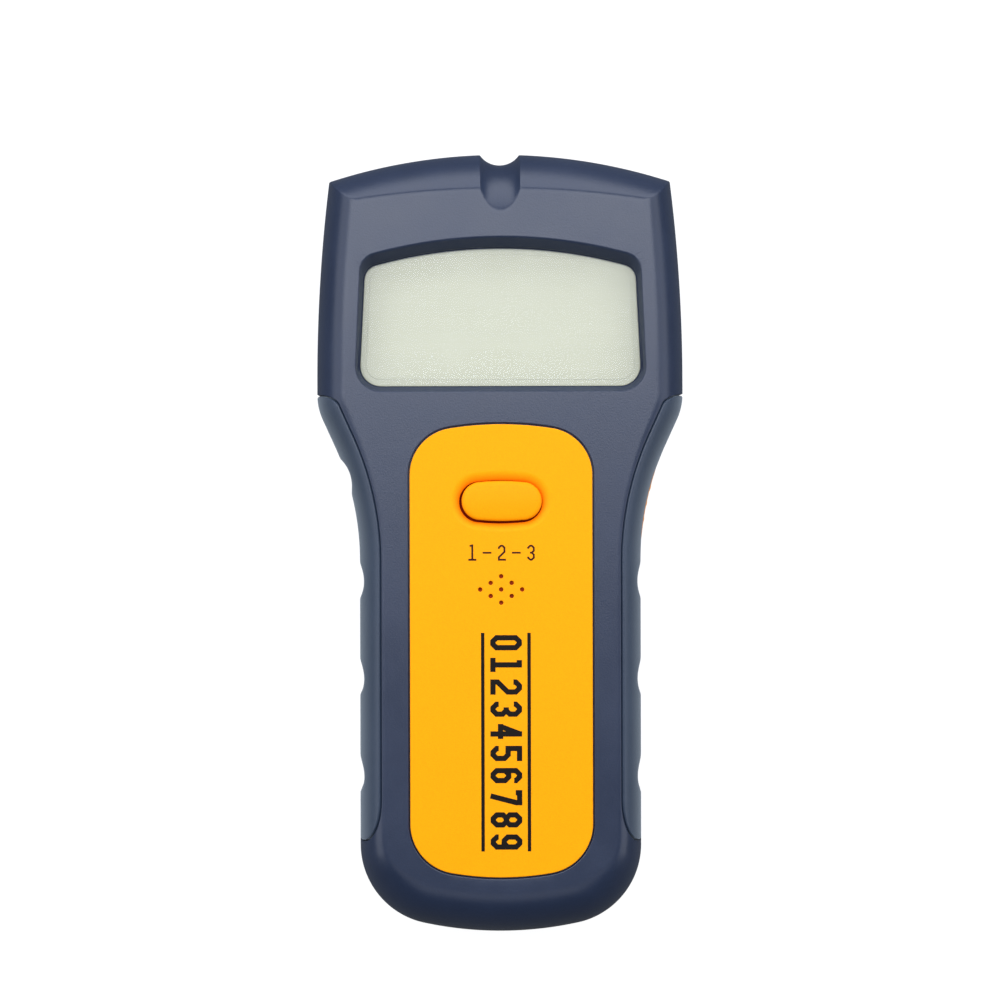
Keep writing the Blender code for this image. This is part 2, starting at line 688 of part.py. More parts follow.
def make_scan_button():
    """Cap that follows the flank, with a flange behind the shell wall and a stem."""
    button = scan_block("scan_button", -3.0, SCAN_FLANGE_DEPTH + 0.2, 0.0, "orange")
    boolean(button, body("scan_skin", 0, 40, -SCAN_PROUD), "INTERSECT")
    far = SCAN_FLANGE_DEPTH + SCAN_FLANGE_THICK
    boolean(button, scan_block("scan_flange", SCAN_FLANGE_DEPTH, far, 0.9), "UNION")
    depths = (SCAN_STEM_DEPTH, far - 0.4)
    stem = loft("scan_stem", [[(-d, y, z) for y, z in circle(1.9, 12)] for d in depths])
    stem.matrix_world = scan_frame()
    return boolean(button, stem, "UNION")


def make_switch(name, plunger_name, frame, gap_to_stem):
    """A tactile switch whose plunger points along the frame's +z, and the plunger itself.
    The frame's origin is the middle of the switch's base."""
    case = box(name, (-3, -3, 0), (3, 3, 3.1), "black")
    rings = [[(x, y, z) for x, y in circle(2.05, 12)] for z in (0.3, 6.0)]
    bore = loft(f"{name}_bore", rings)
    plunger = loft(
        plunger_name,
        [[(x, y, z) for x, y in circle(r, 12)] for r, z in ((1.75, 1.3), (1.75, gap_to_stem))],
        "ivory",
    )
    for obj in (case, bore, plunger):
        obj.matrix_world = frame
    boolean(case, bore)
    return case, plunger


def make_switches():
    upright = Matrix.Translation(Vector((0, SELECT_Y, ON_BOARD)) * MM)
    stem_low = SELECT_TOP_Z - 4.9
    make_switch("select_switch", "select_plunger", upright, stem_low - GAP - ON_BOARD)
    depth = Matrix.Translation(Vector((-SCAN_SWITCH_DEPTH, 0, 0)) * MM)
    sideways = depth @ Matrix.Rotation(math.pi / 2, 4, "Y")
    lowered = Matrix.Translation(Vector((0, 0, UNDER_BOARD - 3.1 - SPLIT_Z)) * MM)
    frame = scan_frame() @ lowered @ sideways
    reach = SCAN_SWITCH_DEPTH - SCAN_STEM_DEPTH - GAP
    make_switch("scan_switch", "scan_plunger", frame, reach)


# ---- display ---------------------------------------------------------------


def make_display():
    lens_top = WINDOW_RIM_Z - GAP
    prism("display_window", window_outline(LENS_OVERLAP), lens_top - LENS_THICK, lens_top, "clear")
    x, low, high = LCD_HALF_WIDTH, LCD_LOW_Y, LCD_HIGH_Y
    lcd_top = lens_top - LENS_THICK - GAP
    box("lcd_panel", (-x, low, lcd_top - 2.6), (x, high, lcd_top), "lcd")
    frame = box("lcd_frame", (-x - 1.1, low - 1.1, ON_BOARD), (x + 1.1, high + 1.1, lcd_top), "ivory")
    boolean(frame, box("lcd_frame_hole", (-x - GAP, low - GAP, 10), (x + GAP, high + GAP, 40)))
    under = lcd_top - 2.6 - GAP
    box("backlight_guide", (-x + 1.8, low + 4, ON_BOARD), (x, high, under), "diffuser")
    box("backlight_led", (-x, 42, ON_BOARD), (-x + 1.4, 47, under), "ivory")
    box("zebra_strip", (-x + 1, low + 0.6, ON_BOARD), (x - 1, low + 3.2, under), "foam")


# ---- boards and parts on them ----------------------------------------------


def make_main_board():
    half = [
        (0, 66.2),
        (22.6, 66.2),
        (22.6, 60.6),
        (29.4, 60.6),
        (29.4, 29.0),
        (20.6, 18.6),
        (17.6, -3.4),
        (17.6, -4.8),
        (20.4, -4.8),
        (20.4, -14.6),
        (0, -14.6),
    ]
    board = prism("main_board", mirrored(half), BOARD_Z, BOARD_TOP, "board_green")
    holes = [
        cylinder(f"board_hole_{i}", 1.3, 10, 24, centre, None, 12)
        for i, centre in enumerate(BOARD_SCREWS)
    ]
    return boolean(board, joined("board_holes", holes))


def screw(name, centre, head_low, head_radius, head_high, radius, tip, finish="steel"):
    """A pan-head screw that points up, with a cross recess in its head."""
    profile = (
        (head_radius * 0.72, head_low),
        (head_radius, head_low + 0.5),
        (head_radius, head_high),
        (radius, head_high + 0.01),
        (radius, tip - radius),
        (radius * 0.3, tip),
    )
    rings = [[(x, y, z) for x, y in circle(r, 12)] for r, z in profile]
    return loft(name, rings, finish, (*centre, 0))


def cross_outline(length, half):
    """A plus sign with arms of the given length and half width."""
    points = []
    for turn in range(4):
        c, s = round(math.cos(turn * math.pi / 2)), round(math.sin(turn * math.pi / 2))
        for x, y in ((length, -half), (length, half), (half, half)):
            points.append((x * c - y * s, x * s + y * c))
    return points


def make_screws():
    for i, (x, y) in enumerate(CASE_SCREWS):
        head = screw(f"case_screw_{i + 1}", (x, y), 1.7, 2.2, 3.2, 1.0, 20.5)
        cross = cross_outline(1.3, 0.28)
        boolean(head, prism(f"cross_{i}", cross, 0.5, 2.6, None, (x, y, 0)))
    for i, centre in enumerate(BOARD_SCREWS):
        screw(f"board_screw_{i + 1}", centre, 15.4, 1.9, UNDER_BOARD, 0.8, 23.2)


def make_board_parts():
    box("controller_chip", (-5, 17, ON_BOARD), (5, 25.5, ON_BOARD + 1.7), "black")
    for i, (x, y) in enumerate(((-14, 21), (-14, 16), (13, 19))):
        low, high = (x - 1.6, y - 0.8, ON_BOARD), (x + 1.6, y + 0.8, ON_BOARD + 1.2)
        box(f"resistor_{i + 1}", low, high, "ivory")
    for i, centre in enumerate(((-11.5, 3.2), (-11.5, -8.4))):
        cylinder(f"capacitor_{i + 1}", 2.5, ON_BOARD, ON_BOARD + 5.4, centre, "steel", 14)
    profile = ((5.5, ON_BOARD), (5.5, ON_BOARD + 5.2), (4.9, ON_BOARD + 5.5))
    rings = [[(x, y, z) for x, y in circle(r, 20)] for r, z in profile]
    buzzer = loft("buzzer", rings, "black", (0, SOUND_HOLE_Y, 0))
    boolean(buzzer, cylinder("buzzer_port", 1.2, ON_BOARD + 3, 40, (0, SOUND_HOLE_Y), None, 10))


def make_sensing():
    """What looks into the wall: copper plates and a coil on a board behind the rear face."""
    board_z = 4.2
    half = [
        (0, 66.4),
        (22.2, 66.4),
        (22.2, 60.2),
        (30.2, 60.2),
        (30.2, 34.0),
        (27.0, 28.5),
        (22.5, 25.5),
        (0, 25.5),
    ]
    prism("sensor_board", mirrored(half), board_z, board_z + 1.2, "board_green")
    for i, (x0, x1) in enumerate(((-28, -17), (-14, -2), (2, 14), (17, 28))):
        box(f"sensor_plate_{i + 1}", (x0, 29, 3.4), (x1, 59, 3.9), "copper")
    centre, base = (0, 45.5, 0), board_z + 1.2 + GAP
    profile = (
        (8.0, base), (13.6, base), (13.6, base + 1.0), (9.0, base + 1.0),
        (9.0, base + 5.0), (13.6, base + 5.0), (13.6, base + 6.0), (8.0, base + 6.0),
    )
    turned("coil_bobbin", profile, "black", centre)
    wound = (
        (9.3, base + 1.3), (12.8, base + 1.3), (13.1, base + 1.9),
        (13.1, base + 4.1), (12.8, base + 4.7), (9.3, base + 4.7),
    )
    turned("coil_winding", wound, "copper", centre)
    cylinder("coil_core", 7.6, base, base + 6.4, centre[:2], "foam", 24)
    block = box("header_block", (-5.4, 26.8, 8.0), (5.4, 29.2, 12.0), "black")
    ways = []
    for i in range(4):
        x = 2.54 * (i - 1.5)
        box(f"header_pin_{i + 1}", (x - 0.3, 27.7, board_z + 1.5), (x + 0.3, 28.3, UNDER_BOARD), "steel")
        ways.append(box(f"pin_way_{i}", (x - 0.6, 27.4, 5), (x + 0.6, 28.6, 15)))
    boolean(block, joined("pin_ways", ways))


def turned(name, profile, finish, centre, sides=28):
    """A closed ring turned about the vertical through centre from a closed profile of (r, z)."""
    points, faces = [], []
    count = len(profile)
    for i in range(sides):
        a = 2 * math.pi * i / sides
        points += [(r * math.cos(a), r * math.sin(a), z) for r, z in profile]
    for i in range(sides):
        for k in range(count):
            here, there = i * count, ((i + 1) % sides) * count
            m = (k + 1) % count
            faces.append((here + k, here + m, there + m, there + k))
    return mesh_object(name, points, faces, finish, centre)


# ---- battery ---------------------------------------------------------------


def make_battery():
    width, length, height = BATTERY_SIZE
    low_y, low_z = BATTERY_LOW_Y, BATTERY_LOW_Z
    high_y, mid_z = low_y + length, low_z + height / 2
    outline = []
    for sx, sz in ((1, -1), (1, 1), (-1, 1), (-1, -1)):
        start = {(1, -1): -90, (1, 1): 0, (-1, 1): 90, (-1, -1): 180}[(sx, sz)]
        centre = (sx * (width / 2 - 1.6), mid_z + sz * (height / 2 - 1.6))
        outline += arc(centre, 1.6, math.radians(start), math.radians(start + 90), 3)
    rings = [[(x, y, z) for x, z in outline] for y in (low_y, high_y)]
    loft("battery", rings, "battery_blue")
    for name, x, radius, sides in (("plus", 6.35, 2.8, 16), ("minus", -6.35, 4.0, 6)):
        rings = [
            [(x + a, y, mid_z + b) for a, b in circle(radius, sides)]
            for y in (high_y + GAP, high_y + 2.1)
        ]
        loft(f"battery_{name}", rings, "steel")
    snap_low = high_y + 2.1 + GAP
    box("battery_snap", (-12.6, snap_low, mid_z - 5.6), (12.6, snap_low + 2.2, mid_z + 5.6), "black")
    foam_low = low_z + height + GAP
    box("battery_foam", (-10, low_y + 6, foam_low), (10, high_y - 6, foam_low + 0.6), "foam")
    for name, x, finish in (("lead_red", 3.4, "red"), ("lead_black", -3.4, "black")):
        start = Vector((x, snap_low + 2.5, mid_z + 0.5))
        route = [
            start,
            start + Vector((0, 2.2, 0.2)),
            start + Vector((x * 0.25, 4.6, 1.2)),
            start + Vector((x * 0.7, 6.6, 1.8)),
            start + Vector((x * 0.9, 8.4, 1.9)),
        ]
        lead(name, route, 0.65, finish)


def lead(name, route, radius, finish):
    """A thin insulated wire along a smooth curve through the route's points."""
    points = smooth(route, 4)
    curve = bpy.data.curves.new(name, "CURVE")
    curve.dimensions = "3D"
    curve.bevel_depth = radius * MM
    curve.bevel_resolution = 2
    curve.use_fill_caps = True
    spline = curve.splines.new("POLY")
    spline.points.add(len(points) - 1)
    for knot, point in zip(spline.points, points):
        knot.co = (*(point * MM), 1.0)
    curve.materials.append(material(finish))
    obj = bpy.data.objects.new(name, curve)
    bpy.context.scene.collection.objects.link(obj)
    return obj


def smooth(route, steps):
    """Catmull-Rom points through the route."""
    padded = [2 * route[0] - route[1], *route, 2 * route[-1] - route[-2]]
    points = []
    for a, b, c, d in zip(padded, padded[1:], padded[2:], padded[3:]):
        for i in range(steps):
            t = i / steps
            points.append(
                0.5 * (2 * b + (c - a) * t + (2 * a - 5 * b + 4 * c - d) * t * t
                       + (3 * b - a - 3 * c + d) * t**3)
            )
    return [*points, route[-1]]


def make_battery_door():
    """A sliding cover that is also the lower end of the rear face, with rails along both
    sides and finger ribs."""
    top = RAIL_Z + RAIL_THICK
    door = body("battery_door", REAR_Z, top, finish="navy_shell")
    half = [
        (DOOR_HALF_WIDTH, -2.0),
        (DOOR_HALF_WIDTH, 2.7),
        (RAIL_HALF_WIDTH, RAIL_Z),
        (RAIL_HALF_WIDTH, top + 1),
    ]
    section = half + [(-x, z) for x, z in reversed(half)]
    rings = [[(x, y, z) for x, z in section] for y in (BOTTOM_Y - 3, DOOR_TOP_Y)]
    boolean(door, loft("door_section", rings), "INTERSECT")
    ribs = [
        box(f"rib_cut_{i}", (-7 + i, -33 - 2.2 * i, 0), (7 - i, -31.9 - 2.2 * i, 1.25))
        for i in range(4)
    ]
    boolean(door, joined("rib_cuts", ribs))
    return door


# ---- everything ------------------------------------------------------------


def main():
    for obj in list(bpy.data.objects):
        bpy.data.objects.remove(obj)
    make_front_shell()
    make_rear_shell()
    make_grip("left_grip", -1)
    make_grip("right_grip", 1)
    make_face_plate()
    make_select_button()
    make_scan_button()
    make_switches()
    make_display()
    make_main_board()
    make_board_parts()
    make_screws()
    make_sensing()
    make_battery()
    make_battery_door()
    pad_blocks("wall_pad", 0.0, 1.0, 0.0, "felt")


main()
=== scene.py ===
import math

import bmesh
import bpy
import numpy as np
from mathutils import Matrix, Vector
from mathutils.geometry import delaunay_2d_cdt


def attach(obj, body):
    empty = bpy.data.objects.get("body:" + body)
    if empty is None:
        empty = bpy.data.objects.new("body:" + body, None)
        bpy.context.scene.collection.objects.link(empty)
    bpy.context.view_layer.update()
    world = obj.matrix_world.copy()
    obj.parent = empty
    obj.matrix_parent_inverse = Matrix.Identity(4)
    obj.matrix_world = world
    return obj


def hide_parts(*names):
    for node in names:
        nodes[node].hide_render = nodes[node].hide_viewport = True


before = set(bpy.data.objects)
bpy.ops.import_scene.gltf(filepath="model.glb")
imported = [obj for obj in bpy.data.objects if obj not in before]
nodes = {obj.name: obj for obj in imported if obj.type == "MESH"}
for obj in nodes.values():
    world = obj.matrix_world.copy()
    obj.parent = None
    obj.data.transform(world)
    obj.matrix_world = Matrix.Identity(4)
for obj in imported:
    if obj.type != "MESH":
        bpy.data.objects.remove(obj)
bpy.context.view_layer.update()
print("frame loaded:", len(nodes), "pieces")

# Lengths are in millimetres until a mesh is made. z is up, y towards the head, x to the scan button.
milli = 0.001
joint = 0.3  # gap between pieces that touch

body = dict(
    topY=77.5, bottomY=-77.5, frontZ=28.0, rearZ=0.8, splitZ=14.0,
    cornerY=72.01, headArc=325.0, headEndY=32.0, headHalf=36.5,
    shoulderY=26.9, shoulderRound=12.0, neckY=8.4, neckArc=55.0, handleHalf=28.05,
    bottomArc=72.6, bottomRound=16.0,
    headRoll=6.5, handleRoll=5.6, bottomRoll=10.0,
    topBevel=8.4, cornerBevel=5.06, bevelEnd=0.75,
    notchHalf=3.9, notchDepth=2.1,
    rearRound=4.5, rearDraft=math.tan(math.radians(1.2)),
    ceiling=2.4, wall=2.2,
    faceTurn=0.156, rearTurn=0.06, facePull=0.012,  # where the rounded edge of the faces starts
)
body["notchRadius"] = (body["notchHalf"] ** 2 + body["notchDepth"] ** 2) / (2 * body["notchDepth"])


def eased(value, low, high):
    share = np.clip((value - low) / (high - low), 0.0, 1.0)
    return share * share * (3 - 2 * share)


def arcPoints(cx, cy, radius, start, end, outward=1.0, step=0.1):
    # points round a centre, with the unit normal of the body's skin
    count = max(4, int(abs(end - start) * radius / step))
    a = np.linspace(start, end, count)
    c, s = np.cos(a), np.sin(a)
    return np.stack([cx + radius * c, cy + radius * s, outward * c, outward * s], 1)


def sideLine():
    # the right flank seen from the front, corner of the head to the middle of the bottom
    b = body
    parts = [arcPoints(b["headHalf"] - b["headArc"], b["headEndY"], b["headArc"],
                       math.asin((b["cornerY"] - b["headEndY"]) / b["headArc"]), 0.0)]
    lean = math.atan2(b["headHalf"] - b["handleHalf"], b["shoulderY"] - b["neckY"])
    r = b["shoulderRound"]
    parts.append(arcPoints(b["headHalf"] - r, b["shoulderY"] + r * math.tan(lean / 2), r, 0.0, -lean))
    r = b["neckArc"]
    neckLow = b["neckY"] - r * math.tan(lean / 2)
    parts.append(arcPoints(b["handleHalf"] + r, neckLow, r, math.pi - lean, math.pi, -1.0))
    r, big = b["bottomRound"], b["bottomArc"]
    midY = b["bottomY"] + big
    cx = b["handleHalf"] - r
    cy = midY - math.sqrt((big - r) ** 2 - cx**2)
    meet = math.atan2(cy - midY, cx)
    parts.append(arcPoints(cx, cy, r, 0.0, meet))
    parts.append(arcPoints(0.0, midY, big, meet, -math.pi / 2))
    line = np.concatenate(parts)
    along = np.concatenate([[0.0], np.cumsum(np.hypot(np.diff(line[:, 0]), np.diff(line[:, 1])))])
    keep = np.concatenate([[True], np.diff(along) > 1e-6])
    return along[keep], line[keep]


sideS, sideP = sideLine()
sideLength = sideS[-1]
headS = float(np.interp(-body["headEndY"], -sideP[:, 1], sideS))


def sideAt(s):
    # x, y and unit normal of the flank at arc length s
    x, y, nx, ny = (np.interp(s, sideS, sideP[:, k]) for k in range(4))
    size = np.hypot(nx, ny)
    return x, y, nx / size, ny / size


def sideSFromY(y):
    return np.interp(-np.asarray(y, float), -sideP[:, 1], sideS)


def rollWidth(y):
    b = body
    low = b["bottomRoll"] + (b["handleRoll"] - b["bottomRoll"]) * eased(y, -74.0, -56.0)
    return low + (b["headRoll"] - b["handleRoll"]) * eased(y, 10.0, 34.0)


def frontLevel(theta, inset):
    # quarter ellipse from the split (0) to the face (pi/2): height, side share, bevel share, slope
    b = body
    up = np.sin(theta)
    root = np.sqrt(1 - b["bevelEnd"] * up * up)
    full = 1 - math.sqrt(1 - b["bevelEnd"])
    height = b["frontZ"] - inset - b["splitZ"]
    slope = np.arctan2(height, b["topBevel"] * b["bevelEnd"] * up / root / full)
    return dict(z=b["splitZ"] + height * up, side=1 - np.cos(theta), top=(1 - root) / full,
                sine=np.sin(slope), back=0.0 * theta)


def rearLevel(q, inset):
    # drafted wall for q from 0 to 1, then a quarter round to the rear face at 2
    b = body
    low = b["rearZ"] + inset + b["rearRound"]
    turn = np.clip(q - 1, 0, 1) * math.pi / 2
    z = b["splitZ"] - (b["splitZ"] - low) * np.clip(q, 0, 1) - b["rearRound"] * np.sin(turn)
    back = (b["splitZ"] - z) * b["rearDraft"] + b["rearRound"] * (1 - np.cos(turn))
    return dict(z=z, side=0.0 * q, top=0.0 * q, sine=1.0 + 0.0 * q, back=back)


def skin(kind, u, level, inset):
    # The right half of the body's skin. kind 0 is the notch, 1 the top edge and 2 the flank.
    # A flank point is its outline point moved in by roll * side + back + inset. The top edge at
    # each level is the circle through its apex and its two corners, and the notch is cut from it.
    b = body
    kind, u, inset = np.broadcast_arrays(kind, u, inset)
    kind, u, inset, side, top, sine, back, z = np.broadcast_arrays(
        kind, u, inset, level["side"], level["top"], level["sine"], level["back"], level["z"])
    arc = b["headArc"]
    pull = b["headRoll"] * side + back + inset
    cy = b["cornerY"] - b["cornerBevel"] * top - back - inset
    cx = b["headHalf"] - arc + np.sqrt((arc - pull) ** 2 - (cy - b["headEndY"]) ** 2)
    apex = b["topY"] - b["topBevel"] * top - back - inset
    drop = apex - cy
    radius = (cx**2 + drop**2) / (2 * drop)
    half = b["notchHalf"] + inset
    x = np.where(kind == 0, u * half, half + (cx - half) * u)
    across = np.clip(u, 0, 1) * b["notchHalf"]
    r = b["notchRadius"]
    deep = np.sqrt(r**2 - across**2) - (r - b["notchDepth"])
    deep = deep / sine + np.where(u < 0.999, inset * (1 / sine - 1), 0)
    y = apex - (radius - np.sqrt(np.maximum(radius**2 - x**2, 1.0))) - np.where(kind == 0, deep, 0)
    first = math.asin((b["cornerY"] - b["headEndY"]) / arc)
    here = np.arcsin((cy - b["headEndY"]) / (arc - pull))
    s = u + np.where(u < headS, arc * (first - here) * (1 - u / headS), 0)
    px, py, nx, ny = sideAt(s)
    move = rollWidth(py) * side + back + inset
    flank = kind == 2
    return np.stack([np.where(flank, px - nx * move, x), np.where(flank, py - ny * move, y), z], -1)


def bezier(p1, c, p2, count):
    # rounds a sharp edge: count points between p1 and p2, pulled towards c
    t = (np.arange(count) / (count - 1)).reshape((-1,) + (1,) * p1.ndim)
    return (1 - t) ** 2 * p1 + 2 * t * (1 - t) * c + t**2 * p2


def buildMesh(name, points, faces, sharp=50.0):
    # one closed mesh from arrays of points and faces, doubles merged
    mesh = bpy.data.meshes.new(name)
    mesh.from_pydata((np.asarray(points) * milli).tolist(), [], faces)
    work = bmesh.new()
    work.from_mesh(mesh)
    bmesh.ops.remove_doubles(work, verts=work.verts, dist=2e-6)
    bmesh.ops.dissolve_degenerate(work, edges=work.edges, dist=1e-7)
    bmesh.ops.recalc_face_normals(work, faces=work.faces)
    work.to_mesh(mesh)
    work.free()
    mesh.shade_smooth()
    mesh.set_sharp_from_angle(angle=math.radians(sharp))
    obj = bpy.data.objects.new(name, mesh)
    bpy.context.scene.collection.objects.link(obj)
    return obj


def inLoop(points, loop):
    # even-odd rule: counts the loop's edges that a ray towards +x crosses
    x, y = points[:, :1], points[:, 1:2]
    ax, ay = loop[None, :, 0], loop[None, :, 1]
    bx, by = np.roll(loop[:, 0], -1)[None], np.roll(loop[:, 1], -1)[None]
    rise = np.where(by == ay, 1e-12, by - ay)
    crossed = ((ay > y) != (by > y)) & (x < ax + (y - ay) / rise * (bx - ax))
    return crossed.sum(1) % 2 == 1


class Pile:
    # gathers grids, strips and flat areas of one piece before its mesh is made
    def __init__(self):
        self.points, self.faces, self.count = [], [], 0

    def put(self, points):
        points = np.asarray(points, float).reshape(-1, 3)
        self.points.append(points)
        start = self.count
        self.count += len(points)
        return start

    def grid(self, rows, loop=True, rowLoop=False):
        # rows x columns x 3, closed round the columns when loop is true
        m, n = rows.shape[:2]
        start = self.put(rows)
        i = np.arange(m if rowLoop else m - 1)[:, None]
        j = np.arange(n if loop else n - 1)[None, :]
        i2, j2 = (i + 1) % m, (j + 1) % n
        quads = np.stack([i * n + j, i * n + j2, i2 * n + j2, i2 * n + j], -1).reshape(-1, 4) + start
        self.faces += quads.tolist()

    def capped(self, rings):
        # closed rings of equal length, with a flat face over the first and over the last
        rows = np.stack(rings)
        start, n = self.count, rows.shape[1]
        self.grid(rows)
        last = start + (len(rows) - 1) * n
        self.faces += [list(range(start, start + n)), list(range(last, last + n))]

    def flat(self, loops, z):
        # a level area between an outer loop and its holes
        verts = [Vector((float(x), float(y))) for loop in loops for x, y in loop[:, :2]]
        edges, start = [], 0
        for loop in loops:
            n = len(loop)
            edges += [(start + k, start + (k + 1) % n) for k in range(n)]
            start += n
        out, _, faces, *_ = delaunay_2d_cdt(verts, edges, [], 1, 1e-7)
        out, faces = np.array([(v.x, v.y, z) for v in out]), np.array(faces)
        middle = out[faces].mean(1)
        solid = np.ones(len(faces), bool)
        for hole in loops[1:]:
            solid &= ~inLoop(middle, hole)
        self.faces += (faces[solid] + self.put(out)).tolist()

    def make(self, name, sharp=50.0):
        return buildMesh(name, np.concatenate(self.points), self.faces, sharp)


def atHeight(loop, z):
    return np.column_stack([loop[:, 0], loop[:, 1], np.full(len(loop), float(z))])


def circle(radius, count):
    a = np.linspace(0, 2 * math.pi, count + 1)[:-1]
    return radius * np.stack([np.cos(a), np.sin(a)], 1)


def outwards(loop):
    # unit normals of a closed anticlockwise loop
    d = np.roll(loop, -1, 0) - np.roll(loop, 1, 0)
    n = np.stack([d[:, 1], -d[:, 0]], 1)
    return n / np.linalg.norm(n, axis=1, keepdims=True)


def mirrorLoop(half):
    # right half from x = 0 to x = 0, closed by its mirror image; works on rows of points too
    other = half[..., ::-1, :][..., 1:-1, :] * np.array([-1, 1, 1][: half.shape[-1]])
    return np.concatenate([half, other], -2)


def archedLoop(halfLow, halfHigh, topY, topArc, topRound, bottomY, bottomArc, bottomRound, steps):
    # Right half: arch, round, leaning side, round, arch (or a straight line when bottomArc is 0)
    def archEnd(half, apex, arc, r, sign):
        middle = apex - sign * arc
        cx = half - r
        cy = middle + sign * math.sqrt((arc - r) ** 2 - cx**2)
        meet = math.atan2(cy - middle, cx)
        a = np.linspace(sign * math.pi / 2, meet, steps * 2)
        c = np.linspace(meet, 0, steps)
        arch = np.stack([arc * np.cos(a), middle + arc * np.sin(a)], 1)
        turn = np.stack([cx + r * np.cos(c), cy + r * np.sin(c)], 1)
        return np.concatenate([arch[:-1], turn])

    top = archEnd(halfHigh, topY, topArc, topRound, 1)
    if bottomArc:
        low = archEnd(halfLow, bottomY, bottomArc, bottomRound, -1)[::-1]
    else:
        c = np.linspace(0, -math.pi / 2, steps)
        centre = np.array([halfLow - bottomRound, bottomY + bottomRound])
        turn = centre + bottomRound * np.stack([np.cos(c), np.sin(c)], 1)
        base = np.stack([np.linspace(halfLow - bottomRound, 0, steps * 2), np.full(steps * 2, bottomY)], 1)
        low = np.concatenate([turn, base[1:]])
    sides = top[-1] + (low[0] - top[-1]) * np.linspace(0, 1, steps * 2)[1:-1, None]
    full = mirrorLoop(np.concatenate([top, sides, low]))
    return full[::-1]  # anticlockwise


def pillLoop(halfLength, halfHeight, bow=0.05, steps=22):
    # two round ends and two long sides that bulge by bow * halfHeight
    end = halfHeight * (1 - bow)
    a = np.linspace(-math.pi / 2, math.pi / 2, steps)
    right = np.stack([halfLength - end + end * np.cos(a), end * np.sin(a)], 1)
    across = np.linspace(halfLength - end, -(halfLength - end), steps)[1:-1]
    crown = end + halfHeight * bow * (1 - (across / (halfLength - end)) ** 2)
    top = np.stack([across, crown], 1)
    return np.concatenate([right, top, -right, -top])


def cutBy(obj, tool, operation="DIFFERENCE"):
    # an exact Boolean, applied at once, and its tool thrown away
    step = obj.modifiers.new("cut", "BOOLEAN")
    step.operation = operation
    step.solver = "EXACT"
    step.object = tool
    bpy.context.view_layer.update()
    graph = bpy.context.evaluated_depsgraph_get()
    done = bpy.data.meshes.new_from_object(obj.evaluated_get(graph))
    obj.modifiers.clear()
    old = obj.data
    obj.data = done
    bpy.data.meshes.remove(old)
    bpy.data.objects.remove(tool)
    return obj


def bar(x0, y0, x1, y1):
    return np.array([(x0, y0), (x1, y0), (x1, y1), (x0, y1)], float)


def stackTool(rings):
    pile = Pile()
    pile.capped(rings)
    return pile.make("tool")


def blockTool(low, high):
    ring = bar(*low[:2], *high[:2])
    return stackTool([atHeight(ring, low[2]), atHeight(ring, high[2])])


grip = dict(
    topY=29.0, bottomY=-58.6, reach=4.3, topRound=3.6, bottomRound=8.5, thick=2.2,
    restsY=(13.3, -7.5, -26.7, -45.95), restRadius=6.1, restDepth=1.07, edge=0.32,
)


def gripReach(y, extra):
    # how far the grip reaches in from the outline: a strip with rounded ends
    g = grip
    up = np.clip((g["topY"] + extra - y) / (g["topRound"] + extra), 0, 1)
    down = np.clip((y - g["bottomY"] + extra) / (g["bottomRound"] + extra), 0, 1)
    share = np.sqrt(1 - (1 - up) ** 2) * np.sqrt(1 - (1 - down) ** 2)
    return (g["reach"] + extra) * share, share


def stretchS(y0, y1, count, towards=None):
    # arc lengths between two heights; a power of four crowds them towards a rounded tip
    t = np.linspace(0, 1, count)
    if towards == "start":
        t = t**4
    if towards == "end":
        t = 1 - (1 - t) ** 4
    s0, s1 = sideSFromY(y0), sideSFromY(y1)
    return s0 + (s1 - s0) * t


def shellColumns():
    g = grip
    tipY, lowY = g["topY"] + joint, g["bottomY"] - joint
    headEnd = sideSFromY(tipY)
    lowEnd = sideSFromY(lowY)
    notch = np.sin(np.linspace(0, 1, 17) * math.pi / 2)[:-1]
    notch[-1] = 0.985
    edge = 0.012
    kinds, us, zones = [], [], []

    def add(kind, u, zone=False):
        kinds.append(np.full(len(u), kind))
        us.append(np.asarray(u, float))
        zones.append(np.full(len(u), zone))

    add(0, notch)
    add(-1, np.zeros(3))  # rounds the notch's edge
    add(1, np.linspace(edge, 1 - edge, 46))
    add(-2, np.zeros(3))  # rounds the head's corner
    add(2, np.linspace(0.3, headEnd, 70))
    add(2, stretchS(tipY, tipY - 5.0, 26, "start"), True)
    add(2, stretchS(tipY - 5.0, lowY + 10.0, 150)[1:], True)
    add(2, stretchS(lowY + 10.0, lowY, 34, "end")[1:], True)
    add(2, np.linspace(lowEnd, sideLength, 70))
    return np.concatenate(kinds), np.concatenate(us), np.concatenate(zones)


